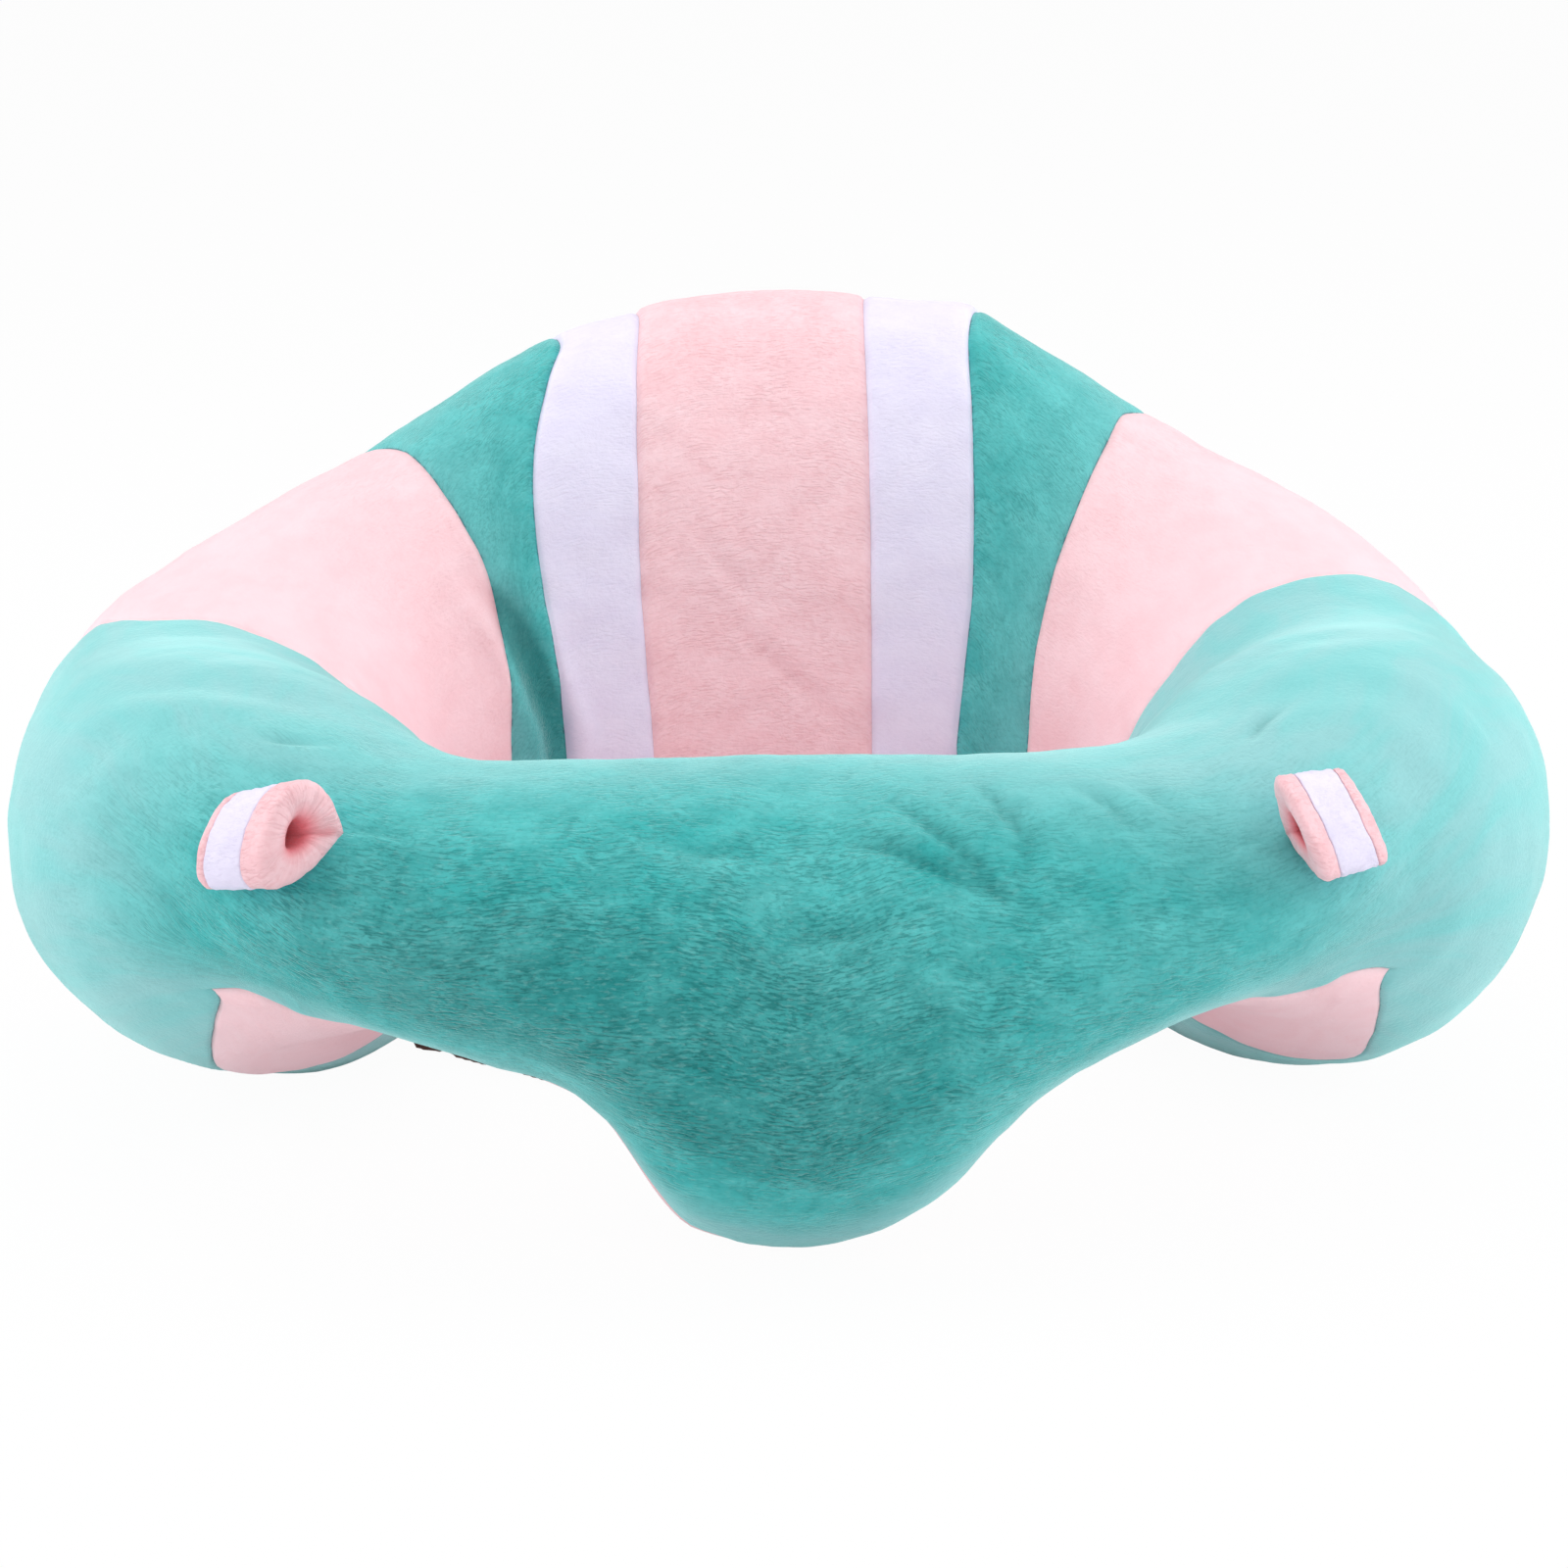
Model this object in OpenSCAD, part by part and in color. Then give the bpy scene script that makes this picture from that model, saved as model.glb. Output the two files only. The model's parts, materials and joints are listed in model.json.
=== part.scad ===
// Baby floor seat. A stuffed plush ring lies round a thin seat pad. The ring is tall behind, lower at the
// arms, and lifted over two leg openings in front, where a bulge comes down to the floor between the legs.
// Millimetres. -Y is the front, +X is right in a front view, and +Z is up. The origin is on the floor,
// under the middle of the outline.

/* [Ring, seen from above] */
// Width across the arms
seat_w = 450; // [400:5:540]
// Reach of the bar's centre line in front of the ring's middle
front_reach = 178; // [165:1:210]
// Reach of the back's centre line behind the ring's middle
back_reach = 134; // [115:1:160]

/* [Ring, heights] */
// Top of the back
back_top = 206; // [175:1:250]
// Top of the arms
arm_top = 134; // [115:1:165]
// Top of the front bar
bar_top = 130; // [110:1:160]
// Underside of the bar over the leg openings
leg_clear = 58; // [46:1:70]

/* [Ring, thickness] */
// Thickness of the bar between the legs
crotch_thick = 104; // [88:1:124]
// Thickness of the bar over the leg openings
bar_thick = 97; // [80:1:116]
// Thickness of the arms
arm_thick = 124; // [104:1:146]
// Thickness of the back
back_thick = 94; // [80:1:112]

/* [Covers] */
// Thickness of the plush, with its pile pressed
cover_t = 1; // [0.8:0.1:1.1]
// Clearance between a cover and its filling
fit_gap = 0.3; // [0.2:0.05:0.3]
// Half the arc of the middle panel of the back, in degrees
centre_arc = 18; // [14:1:20]
// Arc of a pale stripe of the back, in degrees
stripe_arc = 15; // [11:1:17]
// Arc of a side panel of the back, in degrees
side_arc = 15; // [11:1:17]
// Arc of a shoulder panel, in degrees
shoulder_arc = 35; // [30:1:40]
// Angle from the front at which the leg lining ends
lining_arc = 60; // [54:1:66]

/* [Seat pad] */
// Thickness of the quilted sole
sole_t = 5; // [4:0.5:6]
// Height of the pad at its edge
pad_edge = 21; // [18:1:24]
// Height of the pad's crown
pad_top = 31; // [28:1:38]
// Width of the pad's tongue between the legs
tongue_w = 80; // [68:2:92]

/* [Zip] */
// Length of the zip's opening in the sole
zip_len = 168; // [120:4:180]
// Width of the opening in the sole
zip_slot = 13; // [12:0.5:16]
// Distance from tooth to tooth on one tape
tooth_pitch = 4; // [3:0.5:6]
// Length of the slider
slider_len = 14; // [11:1:18]

/* [Toy loops] */
// Width of a loop's band
loop_w = 30; // [24:1:38]
// Length of a loop, out from its seam
loop_reach = 23; // [20:1:30]
// Thickness of a loop's band
loop_t = 2.4; // [1.8:0.2:3]
// Angle of a loop from the front
loop_arc = 35; // [30:1:40]

/* [Hidden] */

TEAL = "#5fc4c6";
PINK = "#f5cdd4";
LILAC = "#dcd7ef";
BROWN = "#6e4641";
WADDING = "#f4f2ec";
FOAM = "#efe3b4";
BRASS = "#b9a06a";

// ---------------------------------------------------------------- the ring

// Squareness of the ring's plan and of its section: 2 is an ellipse.
PLAN_POWER = 2.6;
SECTION_POWER = 2.1;
// How far the stuffed ring presses itself flat on the floor
PRESS = 7;
ARM_LINE = seat_w / 2 - arm_thick / 2;

// The ring's section at some angles from the front: [angle, [half thickness, underside, top,
// lean of the top away from the middle, tuck of the underside towards it]].
SECTIONS = [
    [0,   [crotch_thick / 2,       -0.8,             bar_top,                               -10, 10]],
    [9,   [crotch_thick / 2 - 1,   leg_clear * 0.25, bar_top - 1,                           -11, 8]],
    [20,  [bar_thick / 2 + 1,      leg_clear * 0.71, bar_top,                               -2,  12]],
    [35,  [bar_thick / 2 - 1,      leg_clear * 0.98, bar_top - 1,                           0,   3]],
    [60,  [arm_thick / 2,          leg_clear * 0.30, arm_top + 5,                           3,   0]],
    [90,  [arm_thick / 2,          -PRESS,           arm_top,                               16,  0]],
    [125, [back_thick / 2 + 7,     -PRESS,           arm_top + (back_top - arm_top) * 0.34, 12,  0]],
    [150, [back_thick / 2 + 3,     -PRESS,           arm_top + (back_top - arm_top) * 0.90, 6,   0]],
    [165, [back_thick / 2 + 1,     -PRESS,           back_top - 1,                          11,  0]],
    [180, [back_thick / 2 - 1,     -PRESS,           back_top,                              16,  0]]
];

function power(x, p) = sign(x) * pow(abs(x), p);
function unit(v) = v / norm(v);
// An angle round the ring, counted from the front on either side
function fold(angle) = let (a = abs(angle) % 360) min(a, 360 - a);

// Smooth curve through a table of [key, value] rows, level at both ends
function row_below(table, key, i = 0) =
    i + 2 >= len(table) || key <= table[i + 1][0] ? i : row_below(table, key, i + 1);
function slope(table, i) =
    i == 0 || i == len(table) - 1
        ? table[0][1] * 0
        : (table[i + 1][1] - table[i - 1][1]) / (table[i + 1][0] - table[i - 1][0]);
function curve(table, key) =
    let (
        i = row_below(table, key),
        span = table[i + 1][0] - table[i][0],
        t = (key - table[i][0]) / span
    )
    table[i][1] * (2 * t ^ 3 - 3 * t ^ 2 + 1) + slope(table, i) * span * (t ^ 3 - 2 * t ^ 2 + t)
    + table[i + 1][1] * (3 * t ^ 2 - 2 * t ^ 3) + slope(table, i + 1) * span * (t ^ 3 - t ^ 2);

// Centre line of the ring, seen from above, and the way out from it
function centre_line(angle) =
    let (
        reach = cos(angle) > 0 ? front_reach : back_reach,
        r = pow(pow(abs(sin(angle)) / ARM_LINE, PLAN_POWER) + pow(abs(cos(angle)) / reach, PLAN_POWER),
                -1 / PLAN_POWER)
    )
    [r * sin(angle), -r * cos(angle)];
function way_out(angle) =
    let (
        reach = cos(angle) > 0 ? front_reach : back_reach,
        c = centre_line(angle)
    )
    unit([power(c.x / ARM_LINE, PLAN_POWER - 1) / ARM_LINE, power(c.y / reach, PLAN_POWER - 1) / reach]);

// How far a point of a section lies out from the centre line, by its shares across and upward
function way_from(section, half, across, upward) =
    half * across + section[3] * upward - section[4] * max(-upward, 0);

// Point of the ring's section, moved in from its surface by inset.
// turn is 0 outward, 90 up, 180 towards the sitter and 270 down.
function ring_point(angle, turn, inset) =
    let (
        section = curve(SECTIONS, fold(angle)),
        middle = (section[1] + section[2]) / 2,
        across = power(cos(turn), 2 / SECTION_POWER),
        upward = power(sin(turn), 2 / SECTION_POWER),
        p = centre_line(angle) + way_out(angle) * way_from(section, section[0] - inset, across, upward)
    )
    [p.x, p.y, max(middle + ((section[2] - section[1]) / 2 - inset) * upward, inset)];

// Seams, as angles from the front
CENTRE_SEAM = 180 - centre_arc;
STRIPE_SEAM = CENTRE_SEAM - stripe_arc;
SIDE_SEAM = STRIPE_SEAM - side_arc;
SHOULDER_SEAM = SIDE_SEAM - shoulder_arc;
// The leg lining starts on the side of the sitter and ends under the bar's front.
LINING_START = 170;
LINING_END = [[0, 296], [14, 313], [30, 307], [42, 311], [52, 319], [60, 330], [90, 306], [180, 306]];
// Under the arms the lining's end seam runs square to the ring. In front it slants towards the bar, by
// these angles at each turn, and it draws the cloth within SLANT_REACH of it along.
LINING_SLANT = [
    [LINING_START, 0], [262, 0], [283, 1], [294, 7.5], [309, 13.3], [320, 15.5], [330, 16.7],
    [400, 3], [430, 0], [LINING_START + 360, 0]
];
SLANT_REACH = 30;
LINING_ROWS = 5;
COVER_ROWS = 11;
ROWS = LINING_ROWS + COVER_ROWS;

// Angles of the sections from one seam to the next, in equal steps of about a given size
function steps(from, to, size) =
    let (n = ceil(abs(to - from) / size - 0.01))
    [for (i = [0 : n]) from + (to - from) * i / n];
// One list from several, without their shared ends
function joined(lists) =
    concat(lists[0], [for (k = [1 : len(lists) - 1], i = [1 : len(lists[k]) - 1]) lists[k][i]]);

LEG_ANGLES = steps(-lining_arc, lining_arc, 5);
ARM_ANGLES = steps(lining_arc, SHOULDER_SEAM, 6.5);
SHOULDER_ANGLES = steps(SHOULDER_SEAM, SIDE_SEAM, 6);
SIDE_ANGLES = steps(SIDE_SEAM, STRIPE_SEAM, 5);
STRIPE_ANGLES = steps(STRIPE_SEAM, CENTRE_SEAM, 5);
CENTRE_ANGLES = steps(CENTRE_SEAM, 360 - CENTRE_SEAM, 6);
function mirrored(angles, about) = [for (i = [len(angles) - 1 : -1 : 0]) about - angles[i]];

// Turns of the section's points: the first rows span the lining, and the others the rest.
function turns(angle) =
    let (edge = curve(LINING_END, fold(angle)))
    concat(
        [for (j = [0 : LINING_ROWS - 1]) LINING_START + (edge - LINING_START) * j / LINING_ROWS],
        [for (j = [0 : COVER_ROWS - 1]) edge + (LINING_START + 360 - edge) * j / COVER_ROWS]
    );

// The outline's front and back put the origin in its middle.
OUTLINE_Y = [
    for (angle = concat(LEG_ANGLES, CENTRE_ANGLES), turn = turns(angle)) ring_point(angle, turn, 0).y
];
MIDDLE_Y = (min(OUTLINE_Y) + max(OUTLINE_Y)) / 2;
function skin(angle, turn, inset = 0) = ring_point(angle, turn, inset) - [0, MIDDLE_Y, 0];
function slanted(angle, turn) =
    let (
        near = max(0, 1 - abs(fold(angle) - lining_arc) / SLANT_REACH),
        side = angle > 180 ? -1 : sign(angle)
    )
    angle - side * near ^ 2 * (3 - 2 * near) * curve(LINING_SLANT, turn);
function skin_rows(angles, inset) =
    [for (angle = angles, turn = turns(angle)) skin(slanted(angle, turn), turn, inset)];

// Sewn piece of cloth on the ring, as thick as the plush. It lies between the first and the last angle,
// in the cells where covers(cell, row) holds.
module cloth(angles, covers = function (i, j) true) {
    n = len(angles) * ROWS;
    function at(i, j, deep = 0) = deep * n + i * ROWS + (j + ROWS) % ROWS;
    function held(i, j) = i >= 0 && i < len(angles) - 1 && covers(i, (j + ROWS) % ROWS);
    cells = [for (i = [0 : len(angles) - 2], j = [0 : ROWS - 1]) if (held(i, j)) [i, j]];
    polyhedron(
        concat(skin_rows(angles, 0), skin_rows(angles, cover_t)),
        [
            for (c = cells)
                let (
                    i = c[0], j = c[1],
                    a = at(i, j), b = at(i, j + 1), d = at(i + 1, j + 1), e = at(i + 1, j),
                    a1 = a + n, b1 = b + n, d1 = d + n, e1 = e + n
                )
                each concat(
                    [[a, b, d], [a, d, e], [a1, d1, b1], [a1, e1, d1]],
                    held(i + 1, j) ? [] : [[e, d, d1], [e, d1, e1]],
                    held(i - 1, j) ? [] : [[b, a, b1], [a, a1, b1]],
                    held(i, j + 1) ? [] : [[d, b, d1], [b, b1, d1]],
                    held(i, j - 1) ? [] : [[a, e, e1], [a, e1, a1]]
                )
        ],
        convexity = 6
    );
}

// Stuffing that fills the ring between two sections
module stuffing(angles) {
    n = len(angles);
    function at(i, j) = i * ROWS + j % ROWS;
    color(WADDING)
        polyhedron(
            skin_rows(angles, cover_t + fit_gap),
            concat(
                [
                    for (i = [0 : n - 2], j = [0 : ROWS - 1])
                        let (a = at(i, j), b = at(i, j + 1), d = at(i + 1, j + 1), e = at(i + 1, j))
                        each [[a, b, d], [a, d, e]]
                ],
                [[for (j = [ROWS - 1 : -1 : 0]) at(0, j)], [for (j = [0 : ROWS - 1]) at(n - 1, j)]]
            ),
            convexity = 6
        );
}

module front_cover() {
    angles = joined([mirrored(ARM_ANGLES, 0), LEG_ANGLES, ARM_ANGLES]);
    arm_cells = len(ARM_ANGLES) - 1;
    leg_cells = len(LEG_ANGLES) - 1;
    color(TEAL)
        cloth(angles, function (i, j) j >= LINING_ROWS || i < arm_cells || i >= arm_cells + leg_cells);
}

module leg_lining() {
    color(PINK) cloth(LEG_ANGLES, function (i, j) j < LINING_ROWS);
}

module shoulder_right() { color(PINK) cloth(SHOULDER_ANGLES); }
module shoulder_left() { color(PINK) cloth(mirrored(SHOULDER_ANGLES, 360)); }
module back_side_right() { color(TEAL) cloth(SIDE_ANGLES); }
module back_side_left() { color(TEAL) cloth(mirrored(SIDE_ANGLES, 360)); }
module back_stripe_right() { color(LILAC) cloth(STRIPE_ANGLES); }
module back_stripe_left() { color(LILAC) cloth(mirrored(STRIPE_ANGLES, 360)); }
module back_centre_panel() { color(PINK) cloth(CENTRE_ANGLES); }

module bar_filling() { stuffing(LEG_ANGLES); }
module arm_filling_right() { stuffing(joined([ARM_ANGLES, SHOULDER_ANGLES])); }
module arm_filling_left() { stuffing(mirrored(joined([ARM_ANGLES, SHOULDER_ANGLES]), 360)); }
module back_filling() {
    right = joined([SIDE_ANGLES, STRIPE_ANGLES]);
    stuffing(joined([right, CENTRE_ANGLES, mirrored(right, 360)]));
}

// ---------------------------------------------------------------- sizes of the zip

// The zip runs across the sole, behind its middle.
ZIP_Y = 12 - MIDDLE_Y;
TAPE_T = 0.6;
// The tapes lie on the sole, and the teeth, the slider and its pull hang from them, clear of the floor.
TAPE_Z = sole_t + TAPE_T / 2;
// Gap between the tapes, for the teeth, and how far a tape reaches over the sole
TAPE_APART = 4;
TAPE_OVER = 8;
TOOTH_H = 2.4;
// Plates of the slider, and their clearance over the teeth
PLATE_T = 0.9;
PLATE_W = 10;
RUN_GAP = 0.25;
PLATE_LOW = TAPE_Z - TOOTH_H / 2 - RUN_GAP - PLATE_T;
PLATE_HIGH = TAPE_Z + TOOTH_H / 2 + RUN_GAP;
SLIDER_TOP = PLATE_HIGH + PLATE_T;
// Stops at both ends of the teeth, and the closed slider's place before one of them
STOP_LEN = 2.4;
STOP_W = 2.2;
STOP_GAP = 0.4;
SLIDER_END = zip_len / 2 - STOP_LEN - 0.6;
SLIDER_START = SLIDER_END - slider_len;
// Post between the slider's plates
POST_LEN = 2.6;
POST_W = 1.8;
LAST_TOOTH = SLIDER_END - POST_LEN - 2.2;
FIRST_TOOTH = -zip_len / 2 + tooth_pitch + STOP_LEN + 0.6;

// ---------------------------------------------------------------- the seat pad

// Clearance between the pad and the ring
PAD_GAP = 0.9;
// Where the pad's free edge meets the arms, how late it turns out towards them, and how far the tongue's
// tip is rounded
CUT_END_Y = -8;
CUT_END_X = 122;
CUT_POWER = 3;
TIP_ROUND = 46;
TIP_HALF = 20;

// Side of the ring that faces the pad, at a height: [x, y]
function pad_side(angle, z) =
    let (
        section = curve(SECTIONS, fold(angle)),
        upward = (z - (section[1] + section[2]) / 2) / ((section[2] - section[1]) / 2),
        across = -pow(1 - pow(abs(upward), SECTION_POWER), 1 / SECTION_POWER)
    )
    centre_line(angle) + way_out(angle) * (way_from(section, section[0], across, upward) - PAD_GAP)
    - [0, MIDDLE_Y];
function reaches(angle, z) = curve(SECTIONS, fold(angle))[1] < z - 1;
RIGHT_ANGLES = joined([ARM_ANGLES, SHOULDER_ANGLES, SIDE_ANGLES, STRIPE_ANGLES]);
// The pad's half width between the arms, by distance from the front
function side_table(z) =
    [for (angle = RIGHT_ANGLES) if (reaches(angle, z)) let (p = pad_side(angle, z)) [p.y, p.x]];
// The pad's front tip and its rear edge
function tip_y(z) = pad_side(0, z).y + PAD_GAP;
function rear_y(z) = pad_side(180, z).y;
// The free edge of the pad: a tongue between the legs, which widens towards the arms
function cut_half(y, z) =
    let (
        t = (y - tip_y(pad_edge)) / (CUT_END_Y - MIDDLE_Y - tip_y(pad_edge)),
        flare = tongue_w / 2 + (CUT_END_X - tongue_w / 2) * power(t, CUT_POWER),
        near = max(0, 1 - (y - tip_y(z)) / TIP_ROUND)
    )
    t > 1 ? CUT_END_X + 50 : TIP_HALF + (flare - TIP_HALF) * sqrt(1 - near ^ 2);
function half_width(y, z) = min(cut_half(y, z), lookup(y, side_table(z)));

// Rows of the pad, from the tip (share 0) to the rear (share 1), closer together at both ends.
// Four of them are the edges of the channel that the foam has over the zip.
PAD_ROWS = 20;
CHANNEL_HALF = zip_slot / 2 + TAPE_OVER + 1;
CHANNEL_SLOPE = 3;
function pad_y(share, z, inset) =
    let (tip = tip_y(z) + inset, rear = rear_y(z) - inset)
    tip + (rear - tip) * share;
function share_of(y) = (y - tip_y(sole_t)) / (rear_y(sole_t) - tip_y(sole_t));
CHANNEL_EDGES = [
    for (off = [-CHANNEL_HALF - CHANNEL_SLOPE, -CHANNEL_HALF, CHANNEL_HALF, CHANNEL_HALF + CHANNEL_SLOPE])
        share_of(ZIP_Y + off)
];
EVEN_SHARES = [for (k = [0 : PAD_ROWS]) (1 - cos(180 * k / PAD_ROWS)) / 2];
PAD_SHARES = concat(
    [for (share = EVEN_SHARES) if (share < CHANNEL_EDGES[0] - 0.01) share],
    CHANNEL_EDGES,
    [for (share = EVEN_SHARES) if (share > CHANNEL_EDGES[3] + 0.01) share]
);
// The crown across the pad: [share of the half width, share of the rise]
CROWN = [[0.9, 0.5], [0.62, 0.88]];
function rise(share) = (pad_top - pad_edge) * (0.3 + 0.7 * pow(sin(180 * share), 0.6));
// One row: up the right side from the height low, over the crown, and down the left side
function pad_row(share, inset, low) =
    let (
        side = [
            for (z = [low, (sole_t + pad_edge) / 2, pad_edge - inset])
                let (y = pad_y(share, z, inset)) [half_width(y, z) - inset, y, z]
        ],
        crown = [
            for (c = CROWN)
                let (z = pad_edge - inset + rise(share) * c[1]) [side[2].x * c[0], pad_y(share, z, inset), z]
        ],
        top = pad_edge - inset + rise(share),
        right = concat(side, crown)
    )
    concat(
        right,
        [[0, pad_y(share, top, inset), top]],
        [for (k = [len(right) - 1 : -1 : 0]) [-right[k].x, right[k].y, right[k].z]]
    );
ROW_POINTS = 2 * (3 + len(CROWN)) + 1;

// Faces between rows of points, over columns of each row, and over one end of a row with mirrored halves
function loft_faces(rows, columns, first) =
    [
        for (i = [0 : rows - 2], j = [0 : columns - 1])
            let (
                m = ROW_POINTS,
                a = first + i * m + j, b = first + i * m + (j + 1) % m,
                d = first + (i + 1) * m + (j + 1) % m, e = first + (i + 1) * m + j
            )
            each [[a, b, d], [a, d, e]]
    ];
function end_faces(start) =
    let (last = ROW_POINTS - 1)
    [
        for (j = [0 : (ROW_POINTS - 3) / 2])
            let (r = start + j, l = start + last - j)
            each l - 1 == r + 1 ? [[l, r + 1, r]] : [[l, l - 1, r + 1], [l, r + 1, r]]
    ];
function flipped(faces) = [for (f = faces) [f[0], f[2], f[1]]];

// Solid between rows
module loft(rows) {
    n = len(rows);
    polyhedron(
        [for (row = rows) each row],
        concat(
            loft_faces(n, ROW_POINTS, 0),
            end_faces(0),
            flipped(end_faces((n - 1) * ROW_POINTS))
        ),
        convexity = 4
    );
}

// Cover over rows, open below
module loft_shell(outer, inner) {
    n = len(outer);
    m = ROW_POINTS;
    inside = n * m;
    rear = (n - 1) * m;
    polyhedron(
        [for (row = concat(outer, inner)) each row],
        concat(
            loft_faces(n, m - 1, 0),
            flipped(loft_faces(n, m - 1, inside)),
            end_faces(0),
            flipped(end_faces(inside)),
            flipped(end_faces(rear)),
            end_faces(inside + rear),
            [
                for (i = [0 : n - 2])
                    let (r = i * m, l = r + m - 1)
                    each [
                        [r, r + m, inside + r + m], [r, inside + r + m, inside + r],
                        [l + m, l, inside + l], [l + m, inside + l, inside + l + m]
                    ]
            ],
            [
                [m - 1, 0, inside], [m - 1, inside, inside + m - 1],
                [rear, rear + m - 1, inside + rear + m - 1], [rear, inside + rear + m - 1, inside + rear]
            ]
        ),
        convexity = 6
    );
}

module seat_pad_cover() {
    color(PINK)
        loft_shell(
            [for (share = PAD_SHARES) pad_row(share, 0, sole_t)],
            [for (share = PAD_SHARES) pad_row(share, cover_t, sole_t)]
        );
}

// The foam has a channel along its underside, over the zip.
module seat_foam() {
    color(FOAM)
        loft([
            for (share = PAD_SHARES)
                let (over_zip = share > CHANNEL_EDGES[0] + 0.001 && share < CHANNEL_EDGES[3] - 0.001)
                pad_row(share, cover_t + fit_gap, (over_zip ? SLIDER_TOP : sole_t) + fit_gap)
        ]);
}

// Half of the sole, between two distances from the front
module sole_half(from, to) {
    inner = [for (share = PAD_SHARES) let (y = pad_y(share, sole_t, 0)) if (y > from + 1 && y < to - 1) y];
    ends = [max(from, pad_y(0, sole_t, 0)), min(to, pad_y(1, sole_t, 0))];
    rows = concat([ends[0]], inner, [ends[1]]);
    color(BROWN)
        difference() {
            linear_extrude(sole_t)
                polygon(concat(
                    [for (y = rows) [half_width(y, sole_t), y]],
                    [for (k = [len(rows) - 1 : -1 : 0]) [-half_width(rows[k], sole_t), rows[k]]]
                ));
            translate([-zip_len / 2, ZIP_Y - zip_slot / 2, -1]) cube([zip_len, zip_slot, sole_t + 2]);
        }
}
module sole_front() { sole_half(-seat_w, ZIP_Y); }
module sole_rear() { sole_half(ZIP_Y, seat_w); }

// ---------------------------------------------------------------- the zip in the sole

module tape() {
    width = zip_slot / 2 + TAPE_OVER - TAPE_APART / 2;
    color(BROWN)
        translate([-zip_len / 2 - TAPE_OVER, TAPE_APART / 2, sole_t])
            cube([zip_len + 2 * TAPE_OVER, width, TAPE_T]);
}
module zip_tape_rear() { translate([0, ZIP_Y, 0]) tape(); }
module zip_tape_front() { translate([0, ZIP_Y, 0]) mirror([0, 1, 0]) tape(); }

// One tooth: a foot on the tape's edge, a neck, and a head that locks behind its neighbours' heads.
// Half widths are shares of the pitch, and the head reaches across the middle of the zip.
module tooth() {
    foot = 0.42 * tooth_pitch;
    neck = 0.16 * tooth_pitch;
    head = 0.29 * tooth_pitch;
    foot_len = 0.5;
    head_y = -0.7;
    head_end = -1.3;
    bevel = 0.4;
    side = [
        [foot, TAPE_APART / 2], [foot, TAPE_APART / 2 - foot_len],
        [neck, TAPE_APART / 2 - foot_len - bevel], [neck, head_y + bevel],
        [head, head_y], [head, head_end + bevel / 2], [neck, head_end]
    ];
    linear_extrude(TOOTH_H)
        polygon(concat(side, [for (k = [len(side) - 1 : -1 : 0]) [-side[k].x, side[k].y]]));
}
module teeth() {
    color(BRASS)
        translate([0, 0, TAPE_Z - TOOTH_H / 2])
            for (x = [FIRST_TOOTH : tooth_pitch : LAST_TOOTH]) translate([x, 0, 0]) tooth();
}
module zip_teeth_rear() { translate([0, ZIP_Y, 0]) teeth(); }
module zip_teeth_front() { translate([-tooth_pitch / 2, ZIP_Y, 0]) mirror([0, 1, 0]) teeth(); }

// One bar across both tapes at the start, and one block on each tape at the end
module zip_stops() {
    color(BRASS) translate([0, ZIP_Y, TAPE_Z - TOOTH_H / 2]) {
        translate([FIRST_TOOTH - tooth_pitch - STOP_LEN, -TAPE_APART / 2, 0])
            cube([STOP_LEN, TAPE_APART, TOOTH_H]);
        for (side = [-1, 1])
            translate([SLIDER_END + STOP_GAP, side * (TAPE_APART - STOP_W) / 2 - STOP_W / 2, 0])
                cube([STOP_LEN, STOP_W, TOOTH_H]);
    }
}

// The slider's plates lie below and above the teeth, joined by the post that parts the rows.
PIN_R = 0.5;
PIN_PLAY = 0.06;
PIN_X = SLIDER_END - 2;
PIN_Z = PLATE_LOW - 1.25;
EAR_GAP = 3.4;
EAR_T = 1;
EAR_W = 2.6;
// Shoulders of a plate: how far the mouth is drawn in, and over which share of the length
PLATE_TAPER = 1.6;
PLATE_SHARE = 0.4;
module zip_slider() {
    plate = [
        [0, PLATE_W / 2 - PLATE_TAPER], [slider_len * PLATE_SHARE, PLATE_W / 2], [slider_len, PLATE_W / 2]
    ];
    color(BRASS) translate([0, ZIP_Y, 0]) {
        for (z = [PLATE_LOW, PLATE_HIGH])
            translate([SLIDER_START, 0, z])
                linear_extrude(PLATE_T)
                    polygon(concat(plate, [for (k = [len(plate) - 1 : -1 : 0]) [plate[k].x, -plate[k].y]]));
        translate([SLIDER_END - POST_LEN, -POST_W / 2, PLATE_LOW])
            cube([POST_LEN, POST_W, SLIDER_TOP - PLATE_LOW]);
        difference() {
            for (side = [-1, 1])
                translate([PIN_X - EAR_W / 2, side * (EAR_GAP + EAR_T) / 2 - EAR_T / 2, PIN_Z - 1])
                    cube([EAR_W, EAR_T, PLATE_LOW - PIN_Z + 1]);
            translate([PIN_X, EAR_GAP, PIN_Z]) rotate([90, 0, 0])
                cylinder(r = PIN_R + PIN_PLAY, h = 2 * EAR_GAP, $fn = 32);
        }
    }
}
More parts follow.
